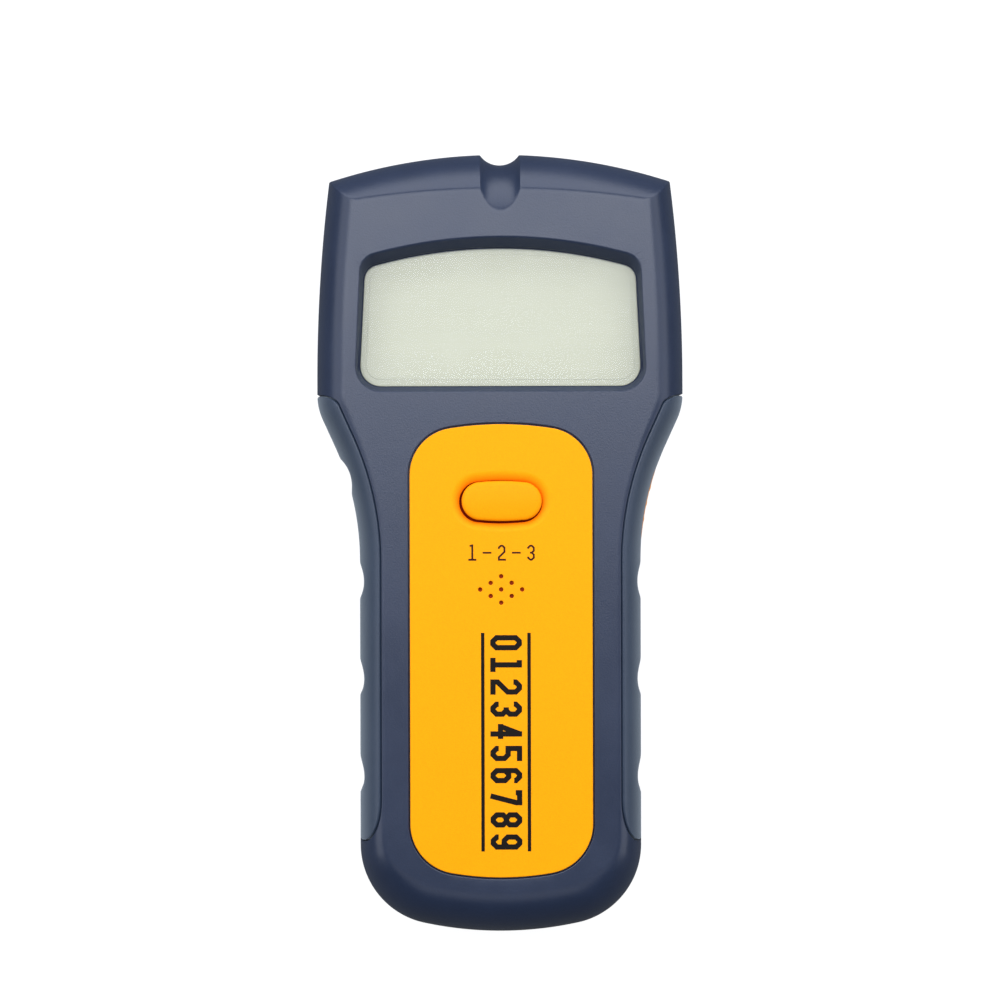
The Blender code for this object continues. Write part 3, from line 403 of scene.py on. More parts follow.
def shellHalf(front):
    # Rows run from the flat face over the rounded edge to the split or to the grip's seam, then
    # down into the grip's pocket, back to the split, and up the inside to the ceiling.
    b, g = body, grip
    kind, u, zone = shellColumns()
    real = kind >= 0
    k, t, inZone = kind[real], u[real], zone[real]
    y = np.where(k == 2, sideAt(t)[1], 70.0)
    width = rollWidth(y)
    reach, share = gripReach(y, joint)
    reach, share = reach * inZone, np.where(inZone, share, 1.0)
    end = math.pi / 2 if front else 2.0
    if front:
        level = frontLevel

        def fromReach(d):
            return np.arccos(np.clip(1 - d / width, -1, 1))

        splitAt = math.asin(0.15 / 14)
        lipAt = math.asin(0.37 / 14)
        inner, innerGrip = b["ceiling"], g["thick"] + joint
    else:
        level = rearLevel
        qs = np.linspace(0, 2, 4001)
        backs = rearLevel(qs, 0.0)["back"]

        def fromReach(d):
            return np.interp(d, backs, qs)

        splitAt = 0.15 / 8.7
        lipAt = 0.37 / 8.7
        inner, innerGrip = b["wall"], g["thick"] + joint + 0.2
    lip = g["edge"] * share
    seam = np.where(inZone, fromReach(reach), splitAt)
    beforeSeam = np.where(inZone, fromReach(reach + lip), lipAt)
    beside = eased(y, g["bottomY"] - 4, g["bottomY"] + 2) * (1 - eased(y, g["topY"] - 1, g["topY"] + 4))
    beside = np.where(k == 2, beside, 0.0)
    inside = inner + innerGrip * beside

    def at(levels, inset):
        return skin(k, t, level(levels, inset), inset)

    turn = b["faceTurn"] if front else b["rearTurn"]
    nearEnd = np.where(k == 2, turn * np.exp(-t / 4) + 0.03, turn) if front else np.full(len(t), turn)
    # the edge of the face, rounded where the top bevel meets it
    p1, c = at(end - nearEnd, 0.0), at(end + 0 * t, 0.0)
    p2 = c * (1 - b["facePull"])
    p2[:, 2] = c[:, 2]
    face = bezier(p2, c, p1, 5)
    start = end - nearEnd
    rows = [face]
    shares = np.linspace(0, 1, 24)[1:]
    rows.append(np.stack([at(start + (beforeSeam - start) * a, 0.0 * t) for a in shares]))
    corner, below = at(seam, 0.0 * t), at(seam, lip)
    rows.append(bezier(rows[-1][-1], corner, below, 5)[1:])
    pocket = g["thick"] + joint
    for a in (0.5, 1.0):
        rows.append(at(seam, np.where(inZone, lip + (pocket - lip) * a, lip + (1.0 - lip) * a))[None])
    for a in (0.33, 0.66, 1.0):
        levels = np.where(inZone, seam + (splitAt - seam) * a, splitAt)
        rows.append(at(levels, np.where(inZone, pocket, 1.0 + (inside - 0.3 - 1.0) * a))[None])
    for a in np.linspace(0, 1, 9):
        rows.append(at(splitAt + (end - splitAt) * a, inside)[None])
    rows = np.concatenate(rows)
    # put the rounded columns in: the notch's edge and the head's corner
    full = np.zeros((rows.shape[0], len(kind), 3))
    full[:, real] = rows
    for mark, ckind, cu in ((-1, 1, 0.0), (-2, 2, 0.0)):
        where = np.flatnonzero(kind == mark)
        lo, hi = where[0] - 1, where[-1] + 1
        levels = columnLevels(front, level, end, splitAt, lipAt, inner)
        control = skin(ckind, cu, level(levels[0], levels[1]), levels[1])
        pulled = control[0] * (1 - b["facePull"])
        pulled[2] = control[0][2]
        control[:5] = bezier(pulled, control[0], control[4], 5)
        between = bezier(full[:, lo], control, full[:, hi], len(where) + 2)
        full[:, where] = np.moveaxis(between[1:-1], 0, 1)
    full[:, 0, 0] = 0.0
    full[:, -1, 0] = 0.0
    return full


def columnLevels(front, level, end, splitAt, lipAt, inner):
    # the levels and insets of a column outside the grips, row by row
    start = end - (body["faceTurn"] if front else body["rearTurn"])
    lip = grip["edge"]
    levels = [end, end, end, end, start]
    insets = [0.0] * 5
    for a in np.linspace(0, 1, 24)[1:]:
        levels.append(start + (lipAt - start) * a)
        insets.append(0.0)
    for a in (0.25, 0.5, 0.75, 1.0):
        levels.append(lipAt + (splitAt - lipAt) * (1 - (1 - a) ** 2))
        insets.append(lip * a * a)
    for a in (0.5, 1.0):
        levels.append(splitAt)
        insets.append(lip + (1.0 - lip) * a)
    for a in (0.33, 0.66, 1.0):
        levels.append(splitAt)
        insets.append(1.0 + (inner - 0.3 - 1.0) * a)
    for a in np.linspace(0, 1, 9):
        levels.append(splitAt + (end - splitAt) * a)
        insets.append(inner)
    return np.array(levels), np.array(insets)


window = dict(lowX=27.7, highX=26.85, topY=58.0, topArc=93.0, topRound=3.2, bottomY=30.6, bottomRound=4.3,
              rimZ=24.8, ledgeZ=23.95, ledge=0.2, collarZ=23.35, bevelSide=0.5, bevelTop=1.65,
              bevelBottom=1.0, lensGap=0.25, collarWide=2.6)
plate = dict(half=17.75, topY=23.2, topArc=63.0, topRound=9.2, bottomY=-64.85, bottomArc=56.0,
             bottomRound=9.7, thick=1.0, proud=0.1, edge=0.22, pocketZ=26.8)
select = dict(x=0.15, y=8.3, halfLength=7.82, halfHeight=3.93, topZ=28.5, hole=0.24, holeX=-0.05, holeY=-0.19,
              dishWidth=2.1, dishDepth=0.75, smallest=(4.02, 0.03),
              # how far the cap has grown past its outline, and the depth below its top
              profile=((-3.95, 0.0), (-3.2, 0.012), (-2.4, 0.045), (-1.6, 0.1), (-1.0, 0.16),
                       (-0.62, 0.22), (-0.36, 0.3), (-0.17, 0.42), (-0.05, 0.58), (0.0, 0.8), (0.0, 2.2),
                       (0.0, 3.3), (1.5, 3.4), (1.5, 4.5), (-2.0, 4.6), (-2.0, 4.9)))
sound = dict(y=-8.9, pitchX=2.04, pitchY=1.28, radius=0.43, countersink=0.08, rim=0.2, port=5.2, disc=4.9)


def windowLoop(grow=0.0, growTop=None, growBottom=None):
    w = window
    up = grow if growTop is None else growTop
    down = grow if growBottom is None else growBottom
    return archedLoop(w["lowX"] + grow, w["highX"] + grow,
                      w["topY"] + up, w["topArc"] + up, w["topRound"] + grow,
                      w["bottomY"] - down, 0, w["bottomRound"] + grow, 18)


def plateLoop(grow=0.0):
    p = plate
    return archedLoop(p["half"] + grow, p["half"] + grow,
                      p["topY"] + grow, p["topArc"] + grow, p["topRound"] + grow,
                      p["bottomY"] - grow, p["bottomArc"] + grow, p["bottomRound"] + grow, 30)


def ringStack(pile, loops):
    # (loop, height) pairs joined in order
    pile.grid(np.stack([atHeight(loop, z) for loop, z in loops]))


def makeFrontShell():
    b, w, p = body, window, plate
    grid = mirrorLoop(shellHalf(True))
    pile = Pile()
    pile.grid(grid)
    faceEdge, ceilingEdge = grid[0][::-1], grid[-1][::-1]
    top, ceiling = b["frontZ"], b["frontZ"] - b["ceiling"]
    # the window: a ring on the face, a rounded edge, the leaning bevel, then an upright wall
    sizes = (w["bevelSide"], w["bevelTop"], w["bevelBottom"])
    outer = windowLoop(*sizes)
    inner = windowLoop()
    edge = bezier(atHeight(windowLoop(*(v + 0.25 for v in sizes)), top), atHeight(outer, top),
                  atHeight(outer + (inner - outer) * 0.16, top - (top - w["rimZ"]) * 0.12), 5)
    low = bezier(atHeight(outer + (inner - outer) * 0.93, w["rimZ"] + 0.22), atHeight(inner, w["rimZ"]),
                 atHeight(inner, w["rimZ"] - 0.25), 5)
    ledge, wide = windowLoop(-w["ledge"]), windowLoop(w["collarWide"])
    below = [(inner, w["ledgeZ"]), (ledge, w["ledgeZ"]), (ledge, w["collarZ"]),
             (wide, w["collarZ"]), (wide, ceiling)]
    pile.grid(np.concatenate([edge, low, np.stack([atHeight(loop, z) for loop, z in below])]))
    windowRing = windowLoop(*(v + 0.25 for v in sizes))
    # the plate's pocket
    pocket = plateLoop(joint)
    edge = bezier(atHeight(plateLoop(joint + 0.2), top), atHeight(pocket, top),
                  atHeight(pocket, top - 0.2), 5)
    pile.grid(np.concatenate([edge, atHeight(pocket, p["pocketZ"])[None]]))
    hole = pillLoop(select["halfLength"] + 0.5, select["halfHeight"] + 0.5) + [0, select["y"]]
    port = circle(sound["port"], 48) + [0, sound["y"]]
    for loop in (hole, port):
        ringStack(pile, [(loop, p["pocketZ"]), (loop, ceiling)])
    pile.flat([faceEdge, windowRing, plateLoop(joint + 0.2)], top)
    pile.flat([pocket, hole, port], p["pocketZ"])
    pile.flat([ceilingEdge, wide, hole, port], ceiling)
    return pile.make("frontShell")


def makeRearShell():
    b = body
    grid = mirrorLoop(shellHalf(False))
    pile = Pile()
    pile.grid(grid)
    pile.flat([grid[0][::-1]], b["rearZ"])
    pile.flat([grid[-1][::-1]], b["rearZ"] + b["wall"])
    return pile.make("rearShell")


def makeGrip(name, sign):
    # Outer skin from the front seam round the flank to the rear seam, inner skin 2.2 mm behind it,
    # joined by rounded edges. Finger rests are upright cylinders: x = min(x, cx - sqrt(r2 - dy2)).
    g = grip
    s = np.concatenate([
        stretchS(g["topY"], g["topY"] - 5.0, 26, "start"),
        stretchS(g["topY"] - 5.0, g["bottomY"] + 10.0, 230)[1:],
        stretchS(g["bottomY"] + 10.0, g["bottomY"], 34, "end")[1:],
    ])
    y = sideAt(s)[1]
    width = rollWidth(y)
    reach, share = gripReach(y, 0.0)
    lip = g["edge"] * share
    qs = np.linspace(0, 2, 4001)
    backs = rearLevel(qs, 0.0)["back"]

    def frontAt(d):
        return np.arccos(np.clip(1 - d / width, -1, 1))

    def rearAt(d):
        return np.interp(d, backs, qs)

    def outer(levels, inset, level):
        return skin(2, s, level(levels, inset), inset)

    zero, thick = 0.0 * s, g["thick"]
    front, rear = frontAt(reach), rearAt(reach)
    frontIn, rearIn = frontAt(np.maximum(reach - lip, 0)), rearAt(np.maximum(reach - lip, 0))
    frontEdge = bezier(outer(front, lip, frontLevel), outer(front, zero, frontLevel),
                       outer(frontIn, zero, frontLevel), 5)
    rearEdge = bezier(outer(rearIn, zero, rearLevel), outer(rear, zero, rearLevel),
                      outer(rear, lip, rearLevel), 5)
    rows = [frontEdge]
    rows += [outer(frontIn * (1 - a), zero, frontLevel)[None] for a in np.linspace(0, 1, 22)[1:-1]]
    rows += [outer(rearIn * a, zero, rearLevel)[None] for a in np.linspace(0, 1, 26)[:-1]]
    rows.append(rearEdge)
    rows += [outer(rear * (1 - a), thick + zero, rearLevel)[None] for a in np.linspace(0, 1, 8)]
    rows += [outer(front * a, thick + zero, frontLevel)[None] for a in np.linspace(0, 1, 8)[1:]]
    rows = np.concatenate(rows)
    outside = len(frontEdge) + 20 + 25 + len(rearEdge)
    skinRows = rows[:outside]
    for i, restY in enumerate(g["restsY"]):
        if sign > 0 and i == 0:
            continue
        fs = sideSFromY(restY)
        ex, ey, nx, ny = (float(v) for v in sideAt(fs))
        out = g["restRadius"] - g["restDepth"]
        cx, cy = ex + nx * out, ey + ny * out
        dy = skinRows[..., 1] - cy
        limit = cx - np.sqrt(np.maximum(g["restRadius"] ** 2 - dy**2, 0.0))
        limit = np.where(np.abs(dy) < g["restRadius"], limit, 1e3)
        gap = skinRows[..., 0] - limit
        soft = 0.12
        smooth = soft * np.logaddexp(0, np.clip(gap / soft, -30, 200))
        skinRows[..., 0] -= np.where(gap > -4 * soft, smooth, 0)
    rows[:outside] = skinRows
    rows = rows * np.array([sign, 1, 1])
    pile = Pile()
    pile.grid(np.swapaxes(rows, 0, 1), loop=True)
    return pile.make(name)


frontShell = makeFrontShell()
print("front shell")
rearShell = makeRearShell()
print("rear shell")
leftGrip = makeGrip("leftGrip", -1)
rightGrip = makeGrip("rightGrip", 1)
print("grips")


def makeFacePlate():
    p, d = plate, select
    top = body["frontZ"] + p["proud"]
    pile = Pile()
    outer = plateLoop()
    edge = bezier(atHeight(plateLoop(-p["edge"]), top), atHeight(outer, top),
                  atHeight(outer, top - p["edge"]), 6)
    inside = atHeight(plateLoop(-p["edge"] - 0.2), top)[None]
    pile.grid(np.concatenate([inside, edge, atHeight(outer, top - p["thick"])[None]]))
    # the dish round the button: depth = dishDepth * share^1.8 from its rim to the button's hole
    rim = pillLoop(d["halfLength"] + d["dishWidth"], d["halfHeight"] + d["dishWidth"]) + [0, d["y"]]
    hole = pillLoop(d["halfLength"] + d["hole"], d["halfHeight"] + d["hole"])
    hole = hole + [d["holeX"], d["y"] + d["holeY"]]
    rows = []
    for a in np.linspace(0, 0.97, 20):
        rows.append(atHeight(rim + (hole - rim) * a, top - d["dishDepth"] * a**1.8))
    rows.append(atHeight(hole + (rim - hole) * 0.008, top - d["dishDepth"] - 0.02))
    rows.append(atHeight(hole, top - d["dishDepth"] - 0.1))
    rows.append(atHeight(hole, top - p["thick"]))
    ring = atHeight(rim + outwards(rim) * 0.25, top)
    pile.grid(np.concatenate([ring[None], np.stack(rows)]))
    # nine sound holes on a diamond, each with a small countersink
    turn = circle(1.0, 24)
    holes = []
    for i in (-1, 0, 1):
        for j in (-1, 0, 1):
            centre = np.array([(i + j) * sound["pitchX"], sound["y"] + (i - j) * sound["pitchY"]])
            wide = centre + turn * (sound["radius"] + sound["countersink"])
            bore = centre + turn * sound["radius"]
            rim = centre + turn * (sound["radius"] + sound["rim"])
            pile.grid(np.concatenate([
                atHeight(rim, top)[None],
                bezier(atHeight(wide, top), atHeight(bore, top), atHeight(bore, top - 0.09), 4),
                atHeight(bore, top - p["thick"])[None]]))
            holes.append((rim, bore))
    pile.flat([plateLoop(-p["edge"] - 0.2), ring] + [h[0] for h in holes], top)
    pile.flat([outer, hole] + [h[1] for h in holes], top - p["thick"])
    return pile.make("facePlate")


def makeSelectButton():
    # pill-shaped rings from the middle outwards: a nearly flat cap, its rounded shoulder and side,
    # then the flange and the flat base
    d = select
    top = d["topZ"]
    rows = []
    for grow, depth in d["profile"]:
        sizes = np.maximum([d["halfLength"] + grow, d["halfHeight"] + grow], d["smallest"])
        rows.append(atHeight(pillLoop(*sizes) + [d["x"], d["y"]], top - depth))
    pile = Pile()
    pile.capped(rows)
    return pile.make("selectButton", 40)


def makeDisplayWindow():
    # clear pane with rounded edges, lying on the ledge of the opening
    w = window
    inner = windowLoop(-w["lensGap"])
    top, base = 24.6, w["ledgeZ"] + 0.03
    pile = Pile()
    edge = bezier(atHeight(windowLoop(-w["lensGap"] - 0.25), top), atHeight(inner, top),
                  atHeight(inner, top - 0.25), 6)
    ring = windowLoop(-w["lensGap"] - 0.7)
    pile.grid(np.concatenate([atHeight(ring, top)[None], edge, atHeight(inner, base)[None]]))
    pile.flat([ring], top)
    pile.flat([inner], base)
    return pile.make("displayWindow", 40)


def makeLcdPanel():
    # glass block with a shallow step round its visible area
    top, base = 23.25, 20.6
    pile = Pile()
    rows = [(windowLoop(-1.55, None, -1.75), top), (windowLoop(-1.35, None, -1.55), top),
            (windowLoop(-1.3, None, -1.5), top - 0.06), (windowLoop(-0.3), top - 0.06),
            (windowLoop(-0.2), top - 0.16), (windowLoop(-0.2), base)]
    ringStack(pile, rows)
    pile.flat([rows[0][0]], top)
    pile.flat([rows[-1][0]], base)
    return pile.make("lcdPanel", 40)


scan = dict(y=7.7, z=14.0, halfLength=9.2, halfHeight=4.5, proud=0.22, sunk=0.18, rimDrop=0.25,
            ridgesAt=(-3.2, 0.0, 3.2), ridgeWidth=0.42, ridgeHeight=0.1,
            flangeDepth=5.9, flangeThick=1.2, flangeGrow=0.9, stemDepth=8.3, stem=(2.0, 1.9))
scanS = float(sideSFromY(scan["y"]))


def flankPoints(along, up, out):
    # a point of the flank: arc length and height from the button's middle, raised out of the skin
    z = scan["z"] + up
    x, y, nx, ny = sideAt(scanS + along)
    share = np.clip((z - body["splitZ"]) / (body["frontZ"] - body["splitZ"]), 0, 1)
    rolled, drafted = rollWidth(y) * (1 - np.sqrt(1 - share**2)), (body["splitZ"] - z) * body["rearDraft"]
    pull = np.where(z > body["splitZ"], rolled, drafted)
    return np.stack([x + nx * (out - pull), y + ny * (out - pull), z], -1)


def planePoints(along, up, depth):
    # the same in the plane that touches the flank at the button's middle
    x, y, nx, ny = (float(v) for v in sideAt(scanS))
    tx, ty = ny, -nx
    along, up = np.asarray(along), np.asarray(up)
    return np.stack([x + tx * along - nx * depth, y + ty * along - ny * depth, scan["z"] + up], -1)


def makeScanButton():
    # Pill-shaped rings from the middle (k = 0) to the rim (k = 1). The cap follows the flank and
    # falls away at its rim: proud * (1 - k^8) - rimDrop * k^30 - sunk, plus bell-shaped ridges.
    # Behind it are a flange and a stem.
    d = scan
    pill = pillLoop(d["halfLength"], d["halfHeight"])
    pile = Pile()
    rows = []
    for k in np.concatenate([np.linspace(0.04, 0.9, 26), np.linspace(0.92, 1.0, 7)]):
        ring = pill * k
        ridge = sum(np.exp(-(((ring[:, 0] - c) / d["ridgeWidth"]) ** 2)) for c in d["ridgesAt"])
        lift = d["ridgeHeight"] * ridge * np.clip(1 - (k / 0.82) ** 6, 0, 1)
        out = d["proud"] * (1 - k**8) - d["rimDrop"] * k**30 - d["sunk"] + lift
        rows.append(flankPoints(ring[:, 0], ring[:, 1], out))
    rows.append(flankPoints(pill[:, 0], pill[:, 1], -1.2))
    far = d["flangeDepth"] + d["flangeThick"]
    wide = pillLoop(d["halfLength"] + d["flangeGrow"], d["halfHeight"] + d["flangeGrow"])
    narrow = pillLoop(*d["stem"])
    for loop, depth in ((pill, d["flangeDepth"]), (wide, d["flangeDepth"]), (wide, far), (narrow, far),
                        (narrow, d["stemDepth"])):
        rows.append(planePoints(loop[:, 0], loop[:, 1], depth))
    pile.capped(rows)
    return pile.make("scanButton", 45)


def scanTool(near, far, grow):
    loop = pillLoop(scan["halfLength"] + grow, scan["halfHeight"] + grow)
    return stackTool([planePoints(loop[:, 0], loop[:, 1], depth) for depth in (near, far)])


rear = dict(
    doorHalf=16.3, doorTopY=-17.0, railHalf=17.7, railZ=3.3, railThick=0.8,
    bayHalf=13.9, bayWall=1.2, bayLowY=-69.0, bayHighY=-16.2,
    pads=((27.0, 47.0, 2.2, 14.0), (20.3, -42.0, 1.6, 6.0)), padDepth=1.3,
    screws=((27.3, 64.3), (-27.3, 64.3), (21.9, -63.5), (-21.9, -63.5)),
    screwHole=((3.1, 0.0), (2.6, 1.1), (2.6, 3.5), (1.4, 3.5), (1.4, 5.0)),  # radius and height, from outside
    grooves=5, grooveY=-31.0, groovePitch=2.3, grooveReach=8.0, grooveShrink=0.9, grooveDrop=1.6,
    grooveWidth=0.9, grooveDepth=1.3,
)


def doorSection(extra, ends):
    # T-shaped section of the door and of its way in the shell
    d = rear
    edge, guide = d["doorHalf"] + extra, d["railHalf"] + extra
    top = d["railZ"] + d["railThick"] + extra
    half = [(edge, -2.0), (edge, 2.7 - extra * 0.7), (guide, d["railZ"] - extra), (guide, top)]
    if not extra:
        half[-1] = (guide, top + 1)
    section = np.array(half + [(-x, z) for x, z in reversed(half)])
    return stackTool([np.insert(section, 1, y, axis=1) for y in ends])


def evenNormals(obj):
    # face-area weighted normals keep the large flats flat up to their rounded edges
    weighted = obj.modifiers.new("weigh", "WEIGHTED_NORMAL")
    weighted.keep_sharp = True


def finishCut(obj, width):
    # rounds what the cuts left sharp
    bevel = obj.modifiers.new("round", "BEVEL")
    bevel.width = width * milli
    bevel.segments = 2
    bevel.limit_method = "ANGLE"
    bevel.angle_limit = math.radians(40)
    bevel.use_clamp_overlap = True
    obj.data.shade_smooth()
    obj.data.set_sharp_from_angle(angle=math.radians(50))
    evenNormals(obj)


def cutRearShell(obj):
    d, low = rear, body["bottomY"]
    wall, guide = d["bayHalf"] + d["bayWall"], d["railHalf"] + joint
    lowY, highY = d["bayLowY"] - d["bayWall"], d["bayHighY"] + d["bayWall"]
    cutBy(obj, blockTool((-wall, lowY, 2.6), (wall, highY, 18.5)), "UNION")
    cutBy(obj, blockTool((-guide - 1.2, lowY + 2, 2.4), (guide + 1.2, highY, 5.6)), "UNION")
    cutBy(obj, blockTool((-d["bayHalf"], d["bayLowY"], 2.0), (d["bayHalf"], d["bayHighY"], 30)))
    cutBy(obj, doorSection(joint, (low - 3, d["doorTopY"] + joint)))
    for x, y in d["screws"]:
        cutBy(obj, stackTool([atHeight(circle(radius, 32) + [x, y], z) for radius, z in d["screwHole"]]))
    for x, y, halfX, halfY in d["pads"]:
        for sign in (1, -1):
            loop = pillLoop(halfY + joint, halfX + joint, 0.0, 12)[:, ::-1] + [sign * x, y]
            cutBy(obj, stackTool([atHeight(loop, -1.0), atHeight(loop, d["padDepth"])]))
    cutBy(obj, scanTool(-4.0, 8.0, joint))
    obj.data.set_sharp_from_angle(angle=math.radians(40))
    evenNormals(obj)


def makeBatteryDoor():
    # the rear end of the body under a T-shaped section, with arrow-shaped finger grooves
    d = rear
    top = d["railZ"] + d["railThick"]
    half = shellColumns()
    keep = half[0] == 2
    u = half[1][keep]
    u = u[sideAt(u)[1] < 6.0]
    low = body["rearZ"] + body["rearRound"]
    first = 1 + math.asin((low - top) / body["rearRound"]) / (math.pi / 2)
    rows = np.stack([skin(2, u, rearLevel(q + 0 * u, 0.0 * u), 0.0 * u) for q in np.linspace(first, 2.0, 16)])
    rows[:, -1, 0] = 0.0
    other = rows[:, ::-1][:, 1:] * np.array([-1, 1, 1])
    loops = np.concatenate([rows, other], 1)
    obj = stackTool(list(loops))
    cutBy(obj, doorSection(0.0, (body["bottomY"] - 3, d["doorTopY"])), "INTERSECT")
    for i in range(d["grooves"]):
        y = d["grooveY"] - d["groovePitch"] * i
        reach = d["grooveReach"] - d["grooveShrink"] * i
        low, high = y + d["grooveDrop"], y + d["grooveWidth"]
        ring = np.array([(-reach, low), (0, y), (reach, low), (reach, low + d["grooveWidth"]), (0, high),
                         (-reach, low + d["grooveWidth"])])
        cutBy(obj, stackTool([atHeight(ring, 0.0), atHeight(ring, d["grooveDepth"])]))
    obj.name = "batteryDoor"
    finishCut(obj, 0.14)
    return obj


def makePad(index, x, y, halfX, halfY):
    # felt strip: rounded rim, slightly crowned underside at z = 0
    pile = Pile()
    rows = []
    for grow, z in ((-0.9, 0.0), (-0.55, 0.0), (-0.3, 0.03), (-0.1, 0.13), (0.0, 0.3), (0.0, 1.0)):
        rows.append(atHeight(pillLoop(halfY + grow, halfX + grow, 0.0, 16)[:, ::-1] + [x, y], z))
    pile.capped(rows)
    return pile.make(f"wallPad{index}", 40)


# Block numerals drawn as thick lines in a box of width x height, their corners cut at 45 degrees
numeral = dict(width=2.95, height=6.15, stroke=1.02, cut=0.7)
printing = dict(ruleLeft=-3.62, ruleRight=5.38, ruleWidth=0.66, topY=-17.3, bottomY=-59.75, middleX=0.92,
                pitch=4.3, ink=0.05, lift=0.03,
                modeX=(-5.6, 0.1, 5.8), modeY=-1.75, modeWide=0.5635, modeHigh=0.5292, modeStroke=0.36,
                dashX=(-2.75, 2.95), dashHalf=0.85, dashTop=-1.58, dashBottom=-1.92)


def numeralLines(text):
    n = numeral
    h, k = n["stroke"] / 2, n["cut"]
    left, right, low, high = h, n["width"] - h, h, n["height"] - h
    centre, mid = n["width"] / 2, n["height"] / 2

    def ring(bottom, top):
        loop = [(left + k, bottom), (right - k, bottom), (right, bottom + k), (right, top - k),
                (right - k, top), (left + k, top), (left, top - k), (left, bottom + k)]
        return loop + loop[:2]

    arch = [(left, high - k), (left + k, high), (right - k, high), (right, high - k)]
    bowl = [(right, low + k), (right - k, low), (left + k, low), (left, low + k), (left, low + k + 0.4)]
    six = [ring(low, mid + 0.45), [(right, high - k - 0.35), *arch[::-1], (left, mid - 0.5)]]
    shapes = {
        "0": [ring(low, high)],
        "1": [[(left + 0.05, high), (centre, high)], [(centre, high + h), (centre, low)],
              [(left - h + 0.1, low), (right + h - 0.1, low)]],
        "2": [[(left, high - k - 0.45), *arch, (right, mid + 0.3), (left, low + 0.9), (left, low),
               (right + h, low)]],
        "3": [[(left, high - k - 0.4), *arch, (right, mid + k), (right - k, mid), (centre - 0.35, mid)],
              [(right - k - 0.2, mid), (right - k, mid), (right, mid - k), *bowl]],
        "4": [[(right - 0.45, low - h), (right - 0.45, high + h)],
              [(right - 0.5, high), (left + 0.02, low + 1.45)],
              [(left - 0.45, low + 1.45), (right + h, low + 1.45)]],
        "5": [[(right + h, high), (left, high), (left, mid + 0.35), (right - k, mid + 0.35),
               (right, mid + 0.35 - k), *bowl]],
        "6": six,
        "7": [[(left, high - 0.75), (left, high), (right, high), (right, high - 0.6),
               (centre - 0.35, low - h)]],
        "8": [ring(low, mid + 0.05), ring(mid - 0.05, high)],
        "9": [[(n["width"] - x, n["height"] - y) for x, y in line] for line in six],
    }
    return [np.array(line, float) for line in shapes[text]]


def strokeQuads(line, width):
    # a mitred band of the given width along a line of points
    step = np.diff(line, axis=0)
    step /= np.linalg.norm(step, axis=1)[:, None]
    normal = np.stack([-step[:, 1], step[:, 0]], 1)
    joined = np.concatenate([normal[:1], normal[:-1] + normal[1:], normal[-1:]])
    joined[1:-1] /= (joined[1:-1] * normal[1:]).sum(1)[:, None]
    a, b = line + joined * width / 2, line - joined * width / 2
    return [np.stack([b[i], b[i + 1], a[i + 1], a[i]]) for i in range(len(line) - 1)]


def inkSlab(name, quads, top, thick):
    # merges overlapping outlines into one flat shape and raises it to a thin closed slab
    points = np.concatenate(quads)
    faces, start = [], 0
    for quad in quads:
        faces.append(list(range(start, start + len(quad))))
        start += len(quad)
    done = delaunay_2d_cdt([Vector(p) for p in points], [], faces, 1, 1e-5)
    flat = np.array([(p.x, p.y) for p in done[0]])
    middles = flat[np.array(done[2])].mean(1)
    corners = np.stack(quads)
    edges = np.roll(corners, -1, axis=1) - corners
    away = middles[:, None, None, :] - corners[None]
    turns = edges[None, ..., 0] * away[..., 1] - edges[None, ..., 1] * away[..., 0]
    covered = (turns > -1e-6).all(2).any(1)  # a triangle is ink when its middle lies in some outline
    kept = [face for face, ink in zip(done[2], covered) if ink]
    mesh = bpy.data.meshes.new(name)
    mesh.from_pydata([(p.x * milli, p.y * milli, top * milli) for p in done[0]], [], kept)
    work = bmesh.new()
    work.from_mesh(mesh)
    bmesh.ops.delete(work, geom=[v for v in work.verts if not v.link_faces], context="VERTS")
    lifted = bmesh.ops.extrude_face_region(work, geom=list(work.faces))
    lowered = [v for v in lifted["geom"] if isinstance(v, bmesh.types.BMVert)]
    bmesh.ops.translate(work, verts=lowered, vec=(0, 0, -thick * milli))
    bmesh.ops.recalc_face_normals(work, faces=work.faces)
    work.to_mesh(mesh)
    work.free()
    obj = bpy.data.objects.new(name, mesh)
    bpy.context.scene.collection.objects.link(obj)
    return obj


def makePrintedScale():
    # two rules with bold scale numerals between them, read with the head to the left
    d, n = printing, numeral
    w = d["ruleWidth"] / 2
    quads = [bar(d[k] - w, d["bottomY"], d[k] + w, d["topY"]) for k in ("ruleLeft", "ruleRight")]
    y = d["topY"] - 0.45
    for text in "0123456789":
        for line in numeralLines(text):
            for quad in strokeQuads(line, n["stroke"]):
                across = quad[:, 1] - n["height"] / 2 + d["middleX"]
                quads.append(np.stack([across, y - quad[:, 0]], 1))
        y -= d["pitch"]
    return inkSlab("printedScale", quads, body["frontZ"] + plate["proud"] + d["lift"], d["ink"])


def makePrintedModes():
    # three light mode numerals under the button, with dashes between them
    d, n = printing, numeral
    quads = []
    for text, x in zip("123", d["modeX"]):
        for line in numeralLines(text):
            spread = (line - [n["width"] / 2, n["height"] / 2]) * [d["modeWide"], d["modeHigh"]]
            quads += [quad + [x, d["modeY"]] for quad in strokeQuads(spread, d["modeStroke"])]
    reach = d["dashHalf"]
    quads += [bar(x - reach, d["dashBottom"], x + reach, d["dashTop"]) for x in d["dashX"]]
    return inkSlab("printedModes", quads, body["frontZ"] + plate["proud"] + d["lift"], d["ink"])


def makeSoundScreen():
    # a thin disc behind the sound holes
    pile = Pile()
    top, disc = plate["pocketZ"] + 0.25, sound["disc"]
    rings = ((disc, top - 0.2), (disc, top), (disc - 0.3, top))
    pile.capped([atHeight(circle(radius, 48) + [0, sound["y"]], z) for radius, z in rings])
    return pile.make("soundScreen", 40)


def shaderOf(name):
    made = bpy.data.materials.new(name)
    made.use_nodes = True
    return made, made.node_tree, made.node_tree.nodes["Principled BSDF"]


